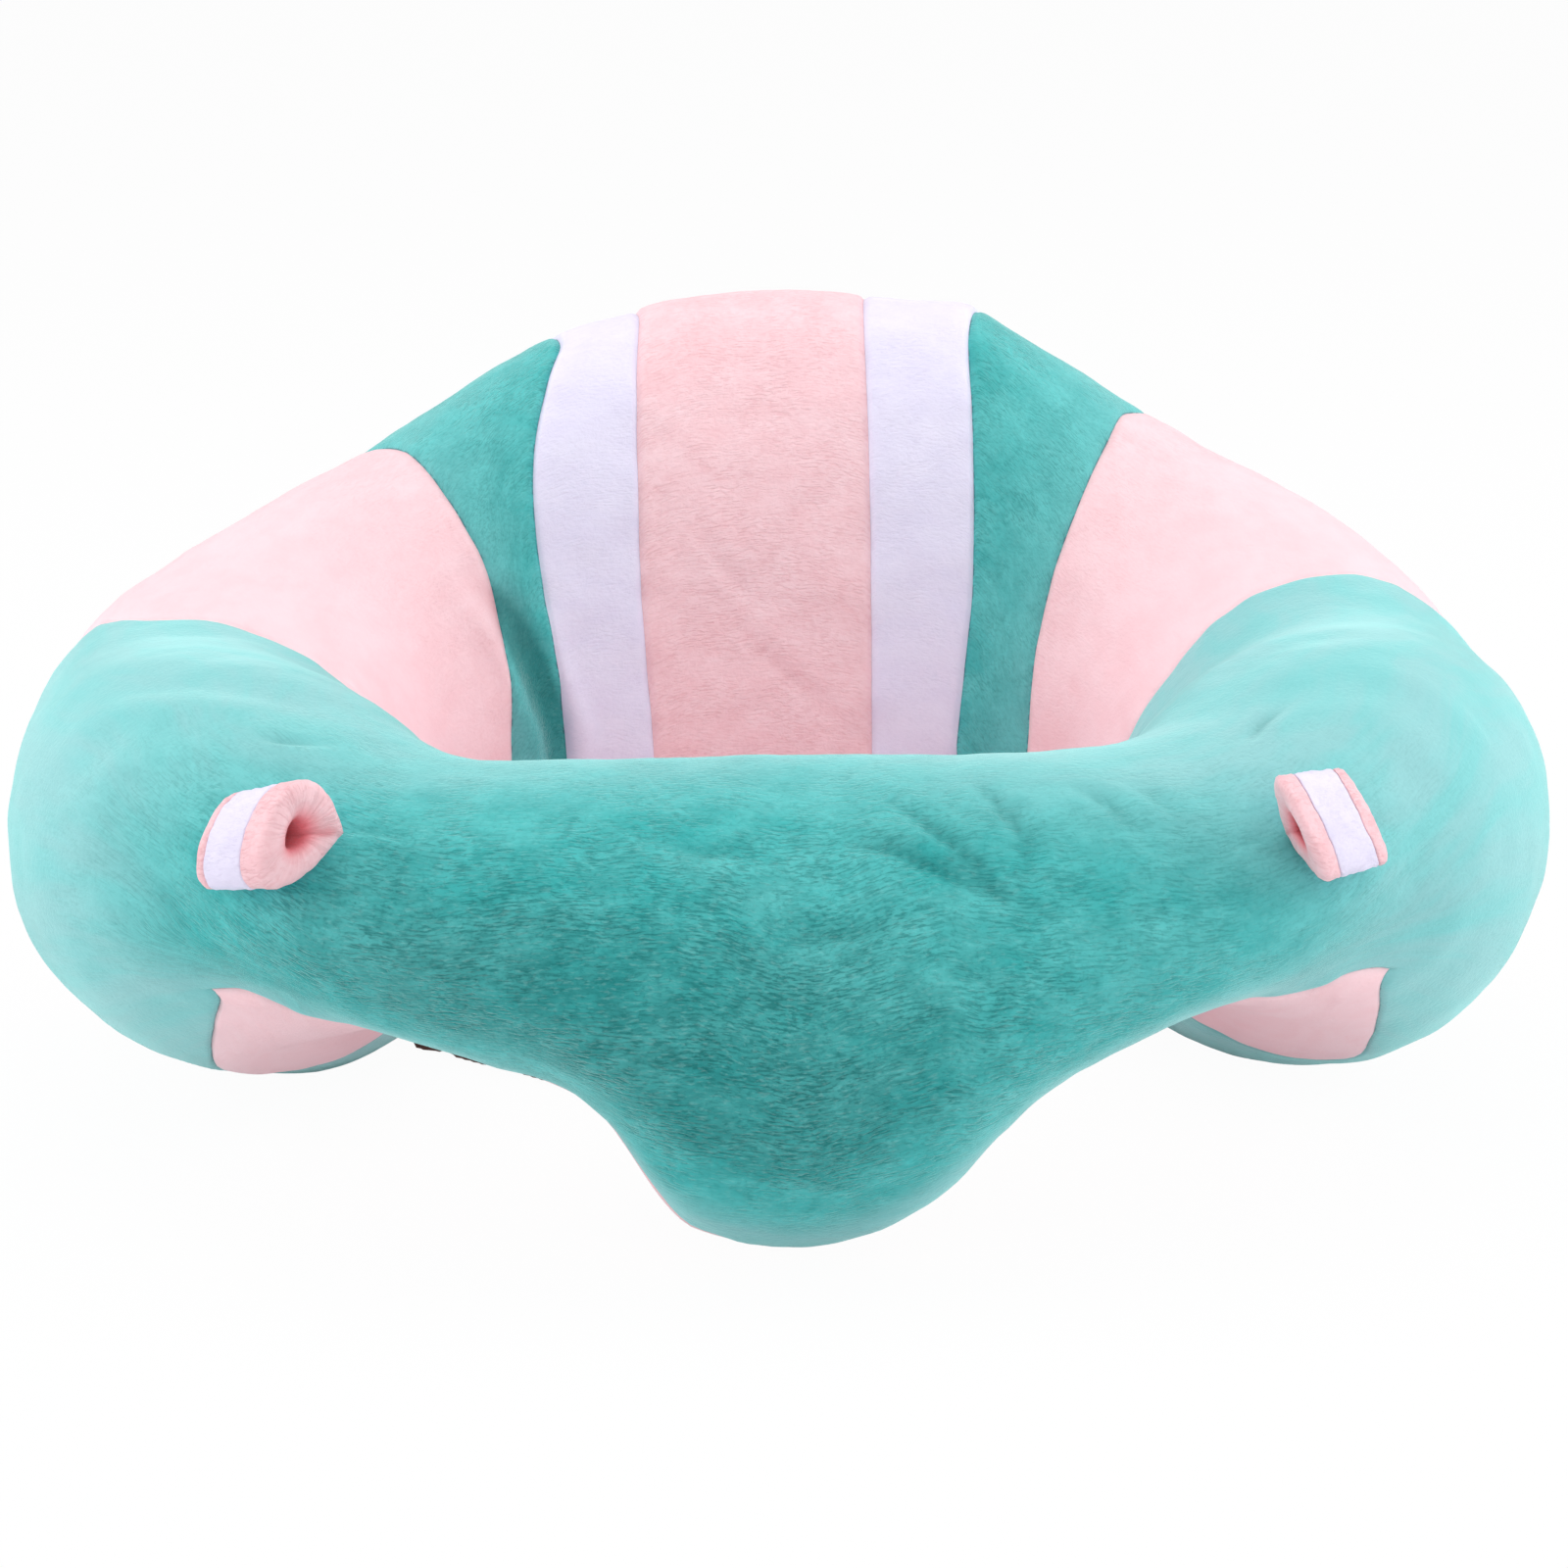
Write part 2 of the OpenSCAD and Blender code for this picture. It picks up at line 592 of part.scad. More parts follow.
// The pull's tongue has a neck between the ears, a hub round the pin, and a hole at its end.
PULL_LEN = 20;
PULL_W = 7;
PULL_T = 1.2;
PULL_NECK = EAR_GAP - 0.6;
HUB_R = 0.95;
NECK_LEN = 4;
SHOULDER_X = 6;
PULL_HOLE_R = 1.6;
module zip_pull() {
    side = [
        [-NECK_LEN + HUB_R / 2, PULL_NECK / 2], [-SHOULDER_X, PULL_W / 2], [-PULL_LEN, PULL_W / 2 - PULL_T]
    ];
    color(BRASS) translate([PIN_X, ZIP_Y, PIN_Z]) {
        translate([0, PULL_NECK / 2, 0]) rotate([90, 0, 0]) cylinder(r = HUB_R, h = PULL_NECK, $fn = 32);
        translate([0, EAR_GAP / 2 + EAR_T, 0]) rotate([90, 0, 0])
            cylinder(r = PIN_R, h = EAR_GAP + 2 * EAR_T, $fn = 32);
        translate([-NECK_LEN, -PULL_NECK / 2, -PULL_T / 2]) cube([NECK_LEN, PULL_NECK, PULL_T]);
        translate([0, 0, -PULL_T / 2])
            linear_extrude(PULL_T)
                difference() {
                    polygon(concat(side, [for (k = [len(side) - 1 : -1 : 0]) [side[k].x, -side[k].y]]));
                    translate([-PULL_LEN + PULL_W - PULL_HOLE_R, 0]) circle(r = PULL_HOLE_R, $fn = 32);
                }
    }
}

// ---------------------------------------------------------------- the toy loops

// Turn of the loops' seam on the bar's section
LOOP_TURN = 34;
// How far a loop hangs down from square to the bar, and turns on its seam
LOOP_DROOP = 25;
LOOP_TWIST = 16;
// Height across a loop
LOOP_HIGH = 22;
// Share of the band that its middle stripe takes
STRIPE_SHARE = 0.36;
LOOP_STEPS = 28;
// Where the band's inner side closes into the neck, and the neck's half height at the seam
LOOP_NECK = 46;
NECK_HALF = 1.2;
NECK_Z = 0.2;
// Fullness of the outline, and its widest half height at fullness 1
FULLNESS = 0.9;
WIDEST = 0.78;

// The loop's outline leaves the seam as a narrow neck and opens to a round end. a goes from 0 to 360.
function loop_line(a) =
    [LOOP_HIGH / 2 / WIDEST * sin(a) * pow(sin(a / 2), FULLNESS), loop_reach / 2 * (1 - cos(a))];
function loop_outline(a, inset = 0) =
    let (along = unit(loop_line(a + 1) - loop_line(a - 1)))
    loop_line(a) + inset * [-along.y, along.x];
module band(from, to) {
    outer = [for (k = [LOOP_STEPS - 1 : -1 : 1]) loop_outline(360 * k / LOOP_STEPS)];
    inner = [
        for (k = [0 : LOOP_STEPS])
            loop_outline(LOOP_NECK + (360 - 2 * LOOP_NECK) * k / LOOP_STEPS, loop_t)
    ];
    neck = [[NECK_HALF, NECK_Z], [-NECK_HALF, NECK_Z]];
    n = len(neck) + len(outer);
    rotate([90, 0, 90])
        translate([0, 0, from])
            linear_extrude(to - from)
                polygon(
                    concat(neck, outer, inner),
                    [[for (k = [0 : n - 1]) k], [for (k = [0 : len(inner) - 1]) n + k]]
                );
}

// The seam's place on the bar, and the frame there: along the bar, up its skin, and out of it
LOOP_ROOT = skin(loop_arc, LOOP_TURN);
LOOP_ALONG = unit(skin(loop_arc + 1, LOOP_TURN) - skin(loop_arc - 1, LOOP_TURN));
LOOP_OUT = unit(cross(LOOP_ALONG, skin(loop_arc, LOOP_TURN + 3) - skin(loop_arc, LOOP_TURN - 3)));
LOOP_UP = cross(LOOP_OUT, LOOP_ALONG);
module on_bar() {
    p = LOOP_ROOT + LOOP_OUT * fit_gap;
    multmatrix([
        [LOOP_ALONG.x, LOOP_UP.x, LOOP_OUT.x, p.x],
        [LOOP_ALONG.y, LOOP_UP.y, LOOP_OUT.y, p.y],
        [LOOP_ALONG.z, LOOP_UP.z, LOOP_OUT.z, p.z],
        [0, 0, 0, 1]
    ])
        rotate([0, 0, LOOP_TWIST])
            rotate([LOOP_DROOP, 0, 0])
                children();
}
module toy_loop() {
    stripe = loop_w * STRIPE_SHARE;
    color(PINK) on_bar() {
        band(-loop_w / 2, -stripe / 2);
        band(stripe / 2, loop_w / 2);
    }
}
module loop_stripe() {
    stripe = loop_w * STRIPE_SHARE;
    color(LILAC) on_bar() band(-stripe / 2, stripe / 2);
}
module toy_loop_right() { toy_loop(); }
module toy_loop_left() { mirror([1, 0, 0]) toy_loop(); }
module loop_stripe_right() { loop_stripe(); }
module loop_stripe_left() { mirror([1, 0, 0]) loop_stripe(); }

// ---------------------------------------------------------------- the whole seat

front_cover();
leg_lining();
shoulder_right();
shoulder_left();
back_side_right();
back_side_left();
back_stripe_right();
back_stripe_left();
back_centre_panel();
bar_filling();
arm_filling_right();
arm_filling_left();
back_filling();
seat_pad_cover();
seat_foam();
sole_front();
sole_rear();
zip_tape_front();
zip_tape_rear();
zip_teeth_front();
zip_teeth_rear();
zip_stops();
zip_slider();
zip_pull();
toy_loop_right();
toy_loop_left();
loop_stripe_right();
loop_stripe_left();
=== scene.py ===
import json
import math

import bpy
import numpy as np
from mathutils import Matrix, Vector
from mathutils.bvhtree import BVHTree


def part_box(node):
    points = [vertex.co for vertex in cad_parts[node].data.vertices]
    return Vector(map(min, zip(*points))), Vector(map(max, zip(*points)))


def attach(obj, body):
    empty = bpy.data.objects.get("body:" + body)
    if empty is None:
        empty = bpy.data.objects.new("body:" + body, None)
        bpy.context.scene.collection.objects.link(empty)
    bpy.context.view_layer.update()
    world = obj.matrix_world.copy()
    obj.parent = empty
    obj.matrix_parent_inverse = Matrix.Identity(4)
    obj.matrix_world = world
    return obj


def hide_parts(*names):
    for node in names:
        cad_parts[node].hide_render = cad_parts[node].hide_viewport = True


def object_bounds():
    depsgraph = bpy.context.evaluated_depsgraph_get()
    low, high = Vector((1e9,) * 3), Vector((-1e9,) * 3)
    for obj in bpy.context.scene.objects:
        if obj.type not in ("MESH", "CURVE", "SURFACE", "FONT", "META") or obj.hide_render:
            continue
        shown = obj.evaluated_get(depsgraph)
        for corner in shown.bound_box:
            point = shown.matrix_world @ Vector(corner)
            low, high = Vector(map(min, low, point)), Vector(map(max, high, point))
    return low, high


# The looks of a baby floor seat: a stuffed plush ring round a thin seat pad, on a quilted brown sole.
# Lengths are millimetres until a mesh is made, angles are degrees. -Y is the front and +Z is up.

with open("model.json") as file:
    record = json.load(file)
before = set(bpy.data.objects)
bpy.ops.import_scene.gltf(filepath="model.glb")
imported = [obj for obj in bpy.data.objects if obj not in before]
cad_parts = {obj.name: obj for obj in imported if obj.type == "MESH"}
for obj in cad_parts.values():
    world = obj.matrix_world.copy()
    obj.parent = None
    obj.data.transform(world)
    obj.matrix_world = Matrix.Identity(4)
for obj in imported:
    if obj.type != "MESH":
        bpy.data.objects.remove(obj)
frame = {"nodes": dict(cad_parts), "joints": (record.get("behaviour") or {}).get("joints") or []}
cad_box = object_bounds()
MM = 0.001
BODY = "seat"

# ---------------------------------------------------------------- the ring's shape

# The seat's width, the reach of the ring's line to the front and back, heights, thicknesses, how deep the
# floor presses into the ring, and the powers of its plan and section
SEAT_W = 450
FRONT_REACH = 178
BACK_REACH = 134
BACK_TOP = 206
ARM_TOP = 134
BAR_TOP = 130
LEG_CLEAR = 58
CROTCH_THICK = 104
BAR_THICK = 97
ARM_THICK = 124
BACK_THICK = 94
FLOOR_PRESS = 7
PLAN_POWER = 2.6
SECTION_POWER = 2.1
ARM_LINE = SEAT_W / 2 - ARM_THICK / 2

# Seams, as angles from the front, and the lining's edges, as turns of the section
CENTRE_SEAM = 162
STRIPE_SEAM = 147
SIDE_SEAM = 132
SHOULDER_SEAM = 97
LINING_SEAM = 60
LINING_START = 170
LINING_END = [[0, 283], [8, 293], [18, 300], [30, 298], [40, 308], [52, 319], [60, 330], [90, 306],
              [180, 306]]

# Rows: angle from the front, half thickness, underside, top, lean of the top away from the middle, and
# tuck of the underside towards it
SECTIONS = np.array([
    [0, CROTCH_THICK / 2, -0.8, BAR_TOP, -10, 10],
    [9, CROTCH_THICK / 2 - 1, LEG_CLEAR * 0.25, BAR_TOP - 1, -11, 8],
    [20, BAR_THICK / 2 + 1, LEG_CLEAR * 0.71, BAR_TOP, -2, 12],
    [35, BAR_THICK / 2 - 1, LEG_CLEAR * 0.98, BAR_TOP - 1, 0, 3],
    [60, ARM_THICK / 2, LEG_CLEAR * 0.30, ARM_TOP + 5, 3, 0],
    [90, ARM_THICK / 2, -FLOOR_PRESS, ARM_TOP, 16, 0],
    [125, BACK_THICK / 2 + 7, -FLOOR_PRESS, ARM_TOP + (BACK_TOP - ARM_TOP) * 0.34, 12, 0],
    [150, BACK_THICK / 2 + 3, -FLOOR_PRESS, ARM_TOP + (BACK_TOP - ARM_TOP) * 0.90, 6, 0],
    [165, BACK_THICK / 2 + 1, -FLOOR_PRESS, BACK_TOP - 1, 11, 0],
    [180, BACK_THICK / 2 - 1, -FLOOR_PRESS, BACK_TOP, 16, 0],
], float)

# How the sewn seams wander, in degrees away from the front, at turns of the section. Left, then right.
SLANT = [[0, -9], [40, -3], [70, 0], [262, 0], [283, -1], [294, -7.5], [309, -13.3], [330, -16.7], [360, -9]]
WANDER = {
    LINING_SEAM: (SLANT, SLANT),
    SHOULDER_SEAM: (
        [[0, 2], [54, 2.5], [82, -4], [100, -5], [130, -6.5], [160, -6], [200, -3], [270, 0], [360, 2]],
        [[0, 0], [68, -0.5], [91, 1], [130, 1.2], [145, -0.8], [200, 0], [360, 0]],
    ),
    SIDE_SEAM: (
        [[0, 0], [60, -1], [100, -1], [121, 0], [137, 1.8], [153, 4.5], [170, 6.2], [200, 5.5], [260, 2],
         [360, 0]],
        [[0, 0], [89, -1], [110, -1.8], [133, -1.2], [151, 0.5], [177, 3], [200, 3.5], [260, 1], [360, 0]],
    ),
    STRIPE_SEAM: (
        [[0, 0], [100, 3.6], [120, 0.8], [135, -1.4], [148, -2], [165, -1], [197, 2.4], [260, 1], [360, 0]],
        [[0, 0], [100, 0.6], [136, -0.5], [165, -0.5], [181, 1], [196, 2.3], [260, 1], [360, 0]],
    ),
    CENTRE_SEAM: (
        [[0, 0], [95, 1], [130, 0.2], [170, 0.3], [200, 1.5], [270, 0], [360, 0]],
        [[0, 0], [95, 0.8], [200, 1.1], [270, 0], [360, 0]],
    ),
}
# Angle in front of which the cloth doesn't follow the lining's end seam
WANDER_START = 30
# How far the back's seams are drawn to its middle where they cross the crown
CROWN_PULL = 3.16


def hermite(table, key):
    """Smooth curve through the rows of a table, level at both ends. The first column is the key."""
    table = np.asarray(table, float)
    keys, values = table[:, 0], table[:, 1:]
    slopes = np.zeros_like(values)
    slopes[1:-1] = (values[2:] - values[:-2]) / (keys[2:] - keys[:-2])[:, None]
    i = np.clip(np.searchsorted(keys, key) - 1, 0, len(keys) - 2)
    span = keys[i + 1] - keys[i]
    t = ((key - keys[i]) / span)[..., None]
    span = span[..., None]
    return (
        values[i] * (2 * t**3 - 3 * t**2 + 1) + slopes[i] * span * (t**3 - 2 * t**2 + t)
        + values[i + 1] * (3 * t**2 - 2 * t**3) + slopes[i + 1] * span * (t**3 - t**2)
    )


def power(x, p):
    return np.sign(x) * np.abs(x) ** p


def fold(angle):
    """An angle round the ring, counted from the front on either side."""
    a = np.abs(angle) % 360
    return np.minimum(a, 360 - a)


def bump(x, low, peak, high):
    """Smooth hill from 0 at low over 1 at peak to 0 at high."""
    t = np.where(x < peak, (x - low) / (peak - low), (high - x) / (high - peak))
    t = np.clip(t, 0, 1)
    return t * t * (3 - 2 * t)


def sewn(angle, turn):
    """An even angle moved by the seams' wander, and by the pull of the back's crown."""
    f = fold(angle)
    left = angle % 360 > 180
    keys = [WANDER_START, *WANDER, 180]
    shift = 0
    for low, seam, high in zip(keys, keys[1:], keys[2:]):
        tables = [hermite(table, turn % 360)[..., 0] for table in WANDER[seam]]
        shift = shift + bump(f, low, seam, high) * np.where(left, *tables)
    f = f + shift
    f = f + CROWN_PULL * bump(f, 105, 147, 180) * np.maximum(np.sin(np.radians(turn)), 0) ** 2
    return np.where(left, 360 - f, f)


def ring(angle, turn):
    """Points of the ring's skin. turn is 0 outward, 90 up, 180 towards the sitter and 270 down."""
    angle = sewn(angle, turn)
    a, v = np.radians(angle), np.radians(turn)
    half, low, top, lean, tuck = np.moveaxis(hermite(SECTIONS, fold(angle)), -1, 0)
    reach = np.where(np.cos(a) > 0, FRONT_REACH, BACK_REACH)
    across, along = np.sin(a), -np.cos(a)
    r = (np.abs(across / ARM_LINE) ** PLAN_POWER + np.abs(along / reach) ** PLAN_POWER) ** (-1 / PLAN_POWER)
    line = np.stack([r * across, r * along], -1)
    out = np.stack([
        power(line[..., 0] / ARM_LINE, PLAN_POWER - 1) / ARM_LINE,
        power(line[..., 1] / reach, PLAN_POWER - 1) / reach,
    ], -1)
    out /= np.linalg.norm(out, axis=-1, keepdims=True)
    upward = power(np.sin(v), 2 / SECTION_POWER)
    offset = half * power(np.cos(v), 2 / SECTION_POWER) + lean * upward - tuck * np.maximum(-upward, 0)
    height = (low + top) / 2 + (top - low) / 2 * upward
    plan = line + out * offset[..., None]
    return np.stack([plan[..., 0], plan[..., 1] - MIDDLE_Y, height], -1)


def outline_middle():
    """Shift along Y that puts the back of the ring where the CAD box ends."""
    return float(ring(np.array(180.0), np.array(0.0))[1]) - cad_box[1][1] / MM


# ring() is first read with no shift, to find the shift that it needs
MIDDLE_Y = 0
MIDDLE_Y = outline_middle()

# ---------------------------------------------------------------- noise

LATTICE = 64
SEED = 11
# Brings the sum of gradients up to about 1
NOISE_GAIN = 1.6
rng = np.random.default_rng(SEED)
GRADIENTS = rng.normal(size=(LATTICE, LATTICE, LATTICE, 3))
GRADIENTS /= np.linalg.norm(GRADIENTS, axis=-1, keepdims=True)


def noise(p):
    """Smooth noise from about -1 to 1 at points p, one wave per unit."""
    cell = np.floor(p).astype(int)
    f = p - cell
    w = f * f * f * (f * (f * 6 - 15) + 10)
    total = 0
    for corner in np.ndindex(2, 2, 2):
        c = np.array(corner)
        g = GRADIENTS[tuple(np.moveaxis((cell + c) % LATTICE, -1, 0))]
        share = np.prod(np.where(c, w, 1 - w), axis=-1)
        total = total + share * ((f - c) * g).sum(-1)
    return total * NOISE_GAIN


# ---------------------------------------------------------------- the plush skin

# Steps between seams, the turns that the lining and the rest take up, the first steps beside a seam, and
# the step for slopes, in degrees
ANGLE_STEP = 0.8
TURN_STEP = 1.75
LINING_SPAN = 140
COVER_SPAN = 220
NEAR_ANGLES = np.array([0, 0.12, 0.27, 0.47, 0.75, 1.15])
NEAR_TURNS = np.array([0, 0.35, 0.8, 1.4, 2.2, 3.4])
SLOPE_STEP = 0.05
# Thickness of the cloth
CLOTH_T = 1.4
# The seams' sharp groove, the rounding beside it, and the small gathers along it
GROOVE_DEPTH, GROOVE_W = 1.0, 1.2
ROUND_DEPTH, ROUND_W = 1.1, 10.0
GATHER, GATHER_REACH, GATHER_WAVE = 0.8, 10.0, 11.0
# The turn of the section's top, from which the cloth's grain is measured
TOP_TURN = 450
# How ruffled the pile is: angle from the front, and strength on the left and right. The strength also paints
# light and shade on the plush: paler, a painted sheen, where it is low, as on the arms and on the right of
# the bar, and darker, painted shade, where it is highest, on the front of the bar.
NAP_AND_PAINTED_LIGHT = [[0, 1, 0.95], [16, 1, 0.7], [30, 0.9, 0.45], [50, 0.42, 0.16], [66, 0.12, 0.08], [112, 0.1, 0.1],
       [132, 0.38, 0.38], [180, 0.55, 0.55]]
# The same for the seat pad
NAP_PAD = 0.3
# The turns between which the bar is ruffled, the turn below which it is smoothest, the least share of the
# strength below and above that turn, and the angles over which the back is ruffled all round. These also
# place the painted shade on the front of the bar and the painted sheen below it.
NAP_FRONT = (-58, -12, 88)
NAP_LOW = -28
NAP_LEAST = (0.1, 0.3)
NAP_BACK = (90, 180, 270)

# Folds of the cloth: points (angle, turn), depth and width
FOLDS = [
    # The slack cloth of the back's left side, and creases of its middle
    ([(-130, 150), (-134, 166), (-141, 177), (-145, 187), (-145.5, 196), (-143, 206)], 4.5, 4.5),
    ([(-174, 172), (-179, 179), (-186, 185), (-195, 194)], 1.2, 2.6),
    ([(-170, 158), (-174, 165), (-179, 172)], 0.8, 2.6),
    ([(-164, 200), (-175, 192), (-186, 184)], 0.7, 2.8),
    # A fan of creases on the bar
    ([(6, 70), (9, 60), (11.7, 48), (13.5, 38), (15, 28)], 1.9, 2.6),
    ([(2, 53), (6.3, 51), (11, 40), (14.5, 30)], 1.9, 2.6),
    ([(14, 78), (15, 66), (16.5, 48), (15.5, 30)], 1.5, 2.6),
    ([(21, 72), (23, 58), (24, 42)], 1.3, 2.8),
    ([(26, 66), (27, 50)], 0.9, 2.6),
    ([(-3, 30), (3.3, 29.5), (9, 32)], 1.3, 2.4),
    ([(8.6, 10), (9.7, 0)], 1.3, 2.6),
    ([(-13, 54), (-8, 50), (-2, 51)], 0.8, 2.6),
    # The bend between the arms and the bar
    ([(-46, 74), (-44, 78), (-41, 86)], 1.1, 2.0),
    ([(-50, 60), (-51.5, 26), (-51.5, 7), (-48, -6), (-42, -16)], 2.4, 12.0),
    ([(48, 55), (49.5, 30), (49, 6), (48, -14), (43, -30)], 2.2, 12.0),
    ([(38, 80), (42, 86), (46, 88)], 1.2, 2.2),
    # Soft rolls across the arms
    ([(-74, 46), (-62, 70), (-54, 90), (-45, 98)], 1.0, 8.0),
    ([(-66, 26), (-57, 55), (-50, 70)], 0.9, 8.0),
    ([(40, 108), (54, 114), (62, 103), (66, 84)], 1.0, 8.0),
    ([(37, 84), (47, 90), (52, 76), (54, 50), (55, 20)], 0.9, 8.0),
    # Where the loops pull at the bar
    ([(-34, 46), (-31, 48), (-28, 45)], 0.9, 1.6),
    ([(30, 33), (32.5, 34)], 0.9, 1.8),
]
# Points of a fold's line, the power by which it fades at its ends, and the width under which the plush
# paints shade along a fold
FOLD_STEPS = 9
FOLD_FADE = 0.7
NARROW = 5
# The lips beside a fold: height as a share of its depth, and place and width as shares of its width
LIP_HEIGHT, LIP_AT, LIP_W = 0.45, 1.9, 0.8
# The stuffing's unevenness: height, wave and place in the noise
LUMPS = [(1.2, 52, 0), (0.55, 19, 9), (0.14, 6, 23)]
# Places where the stuffing stands out or sinks: angle, turn, reach in angle and in turn, height
SWELLS = [
    (-9, 296, 5.5, 35, 6.0), (-18, 300, 6, 35, -3.0), (1, 286, 5, 35, -2.5),
    (-72, 312, 16, 30, -4.5), (-66, 280, 12, 25, -3.0), (66, 278, 14, 30, 2.5),
    (-116, 68, 20, 45, -5.0), (-139, 82, 14, 45, -6.5), (-157, 86, 10, 40, -3.0),
    (148, 86, 5, 35, 4.0), (95, 50, 20, 28, -3.5), (170, 88, 14, 30, 1.6),
    (-27, 308, 7, 22, 2.6), (10, 298, 7, 25, 2.0), (80, 42, 12, 22, 2.0),
]


def spaced(start, end, step, near):
    """Values from start to end in about equal steps, closer together beside both ends."""
    count = max(1, math.ceil((end - start - 2 * near[-1]) / step))
    middle = np.linspace(start + near[-1], end - near[-1], count + 1)
    return np.concatenate([start + near[:-1], middle, end - near[-2::-1]])


LINING_SHARES = spaced(0, LINING_SPAN, TURN_STEP * 1.25, NEAR_TURNS)[:-1] / LINING_SPAN
COVER_SHARES = spaced(0, COVER_SPAN, TURN_STEP, NEAR_TURNS)[:-1] / COVER_SPAN
LINING_ROWS = len(LINING_SHARES)
ROWS = LINING_ROWS + len(COVER_SHARES)


def lining_edge(angle):
    return hermite(LINING_END, fold(angle))[..., 0]


def turn_rows(angle):
    """Turns of the rows at each angle: the first rows span the lining, and the others the rest."""
    edge = lining_edge(angle)[:, None]
    first = LINING_START + (edge - LINING_START) * LINING_SHARES
    rest = edge + (LINING_START + 360 - edge) * COVER_SHARES
    return np.concatenate([first, rest], 1)


def seam_distance(angle, turn, per_angle, per_turn):
    """Distance in millimetres along the skin to the nearest seam."""
    f = fold(angle)
    across = np.min([np.abs(f - s) for s in (SHOULDER_SEAM, SIDE_SEAM, STRIPE_SEAM, CENTRE_SEAM)], 0)
    past = (f - LINING_SEAM) * per_angle
    turned = np.where(turn > (LINING_START + 540) / 2, turn - 360, turn)
    beyond = np.maximum(LINING_START - turned, turned - lining_edge(angle)) * per_turn
    inside = np.minimum(-past, -beyond)
    outside = np.hypot(np.maximum(past, 0), np.maximum(beyond, 0))
    lining = np.where((past < 0) & (beyond < 0), inside, outside)
    return np.minimum(across * per_angle, lining)


def fold_depth(p):
    """How deep the folds press the skin in at points p, with the lips that rise beside them, and how deep
    the narrow ones among them do, which the plush paints as shade along them."""
    total, narrow = 0, np.zeros(p.shape[:-1])
    for points, depth, width in FOLDS:
        marks = np.array(points, float)
        t = np.linspace(0, len(marks) - 1, FOLD_STEPS)
        line = ring(*(np.interp(t, np.arange(len(marks)), marks[:, k]) for k in (0, 1)))
        nearest = np.full(p.shape[:-1], np.inf)
        along = np.zeros(p.shape[:-1])
        for k, (a, b) in enumerate(zip(line, line[1:])):
            share = np.clip(((p - a) @ (b - a)) / ((b - a) @ (b - a)), 0, 1)
            gap = np.linalg.norm(p - a - share[..., None] * (b - a), axis=-1)
            closer = gap < nearest
            nearest = np.where(closer, gap, nearest)
            along = np.where(closer, (k + share) / (len(line) - 1), along)
        fade = np.sin(np.pi * np.clip(along, 0.02, 0.98)) ** FOLD_FADE
        valley = np.exp(-(nearest / width) ** 2)
        lip = LIP_HEIGHT * np.exp(-((nearest / width - LIP_AT) / LIP_W) ** 2)
        total = total + depth * fade * (valley - lip)
        if width < NARROW:
            narrow += depth * fade * valley
    return total, narrow


def swell_height(angle, turn):
    total = 0
    for middle, level, reach, spread, height in SWELLS:
        off = (angle - middle + 180) % 360 - 180
        turned = (turn - level + 180) % 360 - 180
        total = total + height * np.exp(-(off / reach) ** 2 - (turned / spread) ** 2)
    return total


def lumps(p):
    """Unevenness of the stuffing, and soft wrinkles of the plush."""
    return sum(height * noise(p / wave + place) for height, wave, place in LUMPS)


def nap_and_painted_light(angle, turn):
    """How ruffled the pile is: most on the front of the bar, and brushed smooth on the arms. The plush paints
    light and shade from it: paler, painted sheen, where it is low, and darker, painted shade, where it is
    high.
    """
    f = np.abs((angle + 180) % 360 - 180)
    turned = (turn + 180) % 360 - 180
    left, right = np.moveaxis(hermite(NAP_AND_PAINTED_LIGHT, f), -1, 0)
    whole = np.where((angle + 180) % 360 > 180, right, left)
    least = np.where(turned < NAP_LOW, *NAP_LEAST)
    front = whole * (least + (1 - least) * bump(turned, *NAP_FRONT) ** 0.8)
    return front + (whole - front) * bump(f, *NAP_BACK) ** 0.3


def skin(angle, turn, inset=0.0):
    """The ring's skin with its seams drawn in and its panels filled out, moved in by inset. Also the
    distance to the nearest seam and the depth of the narrow folds, which the plush paints as shade."""
    p = ring(angle, turn)
    du = (ring(angle + SLOPE_STEP, turn) - ring(angle - SLOPE_STEP, turn)) / (2 * SLOPE_STEP)
    dv = (ring(angle, turn + SLOPE_STEP) - ring(angle, turn - SLOPE_STEP)) / (2 * SLOPE_STEP)
    normal = np.cross(du, dv)
    normal /= np.linalg.norm(normal, axis=-1, keepdims=True)
    gap = seam_distance(angle, turn, np.linalg.norm(du, axis=-1), np.linalg.norm(dv, axis=-1))
    rise = ROUND_DEPTH * (0.5 - np.exp(-gap / ROUND_W)) - GROOVE_DEPTH * np.exp(-(gap / GROOVE_W) ** 2)
    rise = rise + GATHER * np.exp(-gap / GATHER_REACH) * noise(p / GATHER_WAVE + 40)
    folded, crease = fold_depth(p)
    rise = rise + lumps(p) + swell_height(angle, turn) - folded
    p = p + normal * (rise - inset)[..., None]
    p[..., 2] = np.maximum(p[..., 2], inset)
    return p, gap, crease


def set_values(mesh, **attributes):
    """Gives a mesh's points named values or vectors, which its material reads."""
    for key, values in attributes.items():
        values = np.asarray(values, np.float32)
        kind, field = ("FLOAT_VECTOR", "vector") if values.ndim == 2 else ("FLOAT", "value")
        mesh.attributes.new(key, kind, "POINT").data.foreach_set(field, values.ravel())


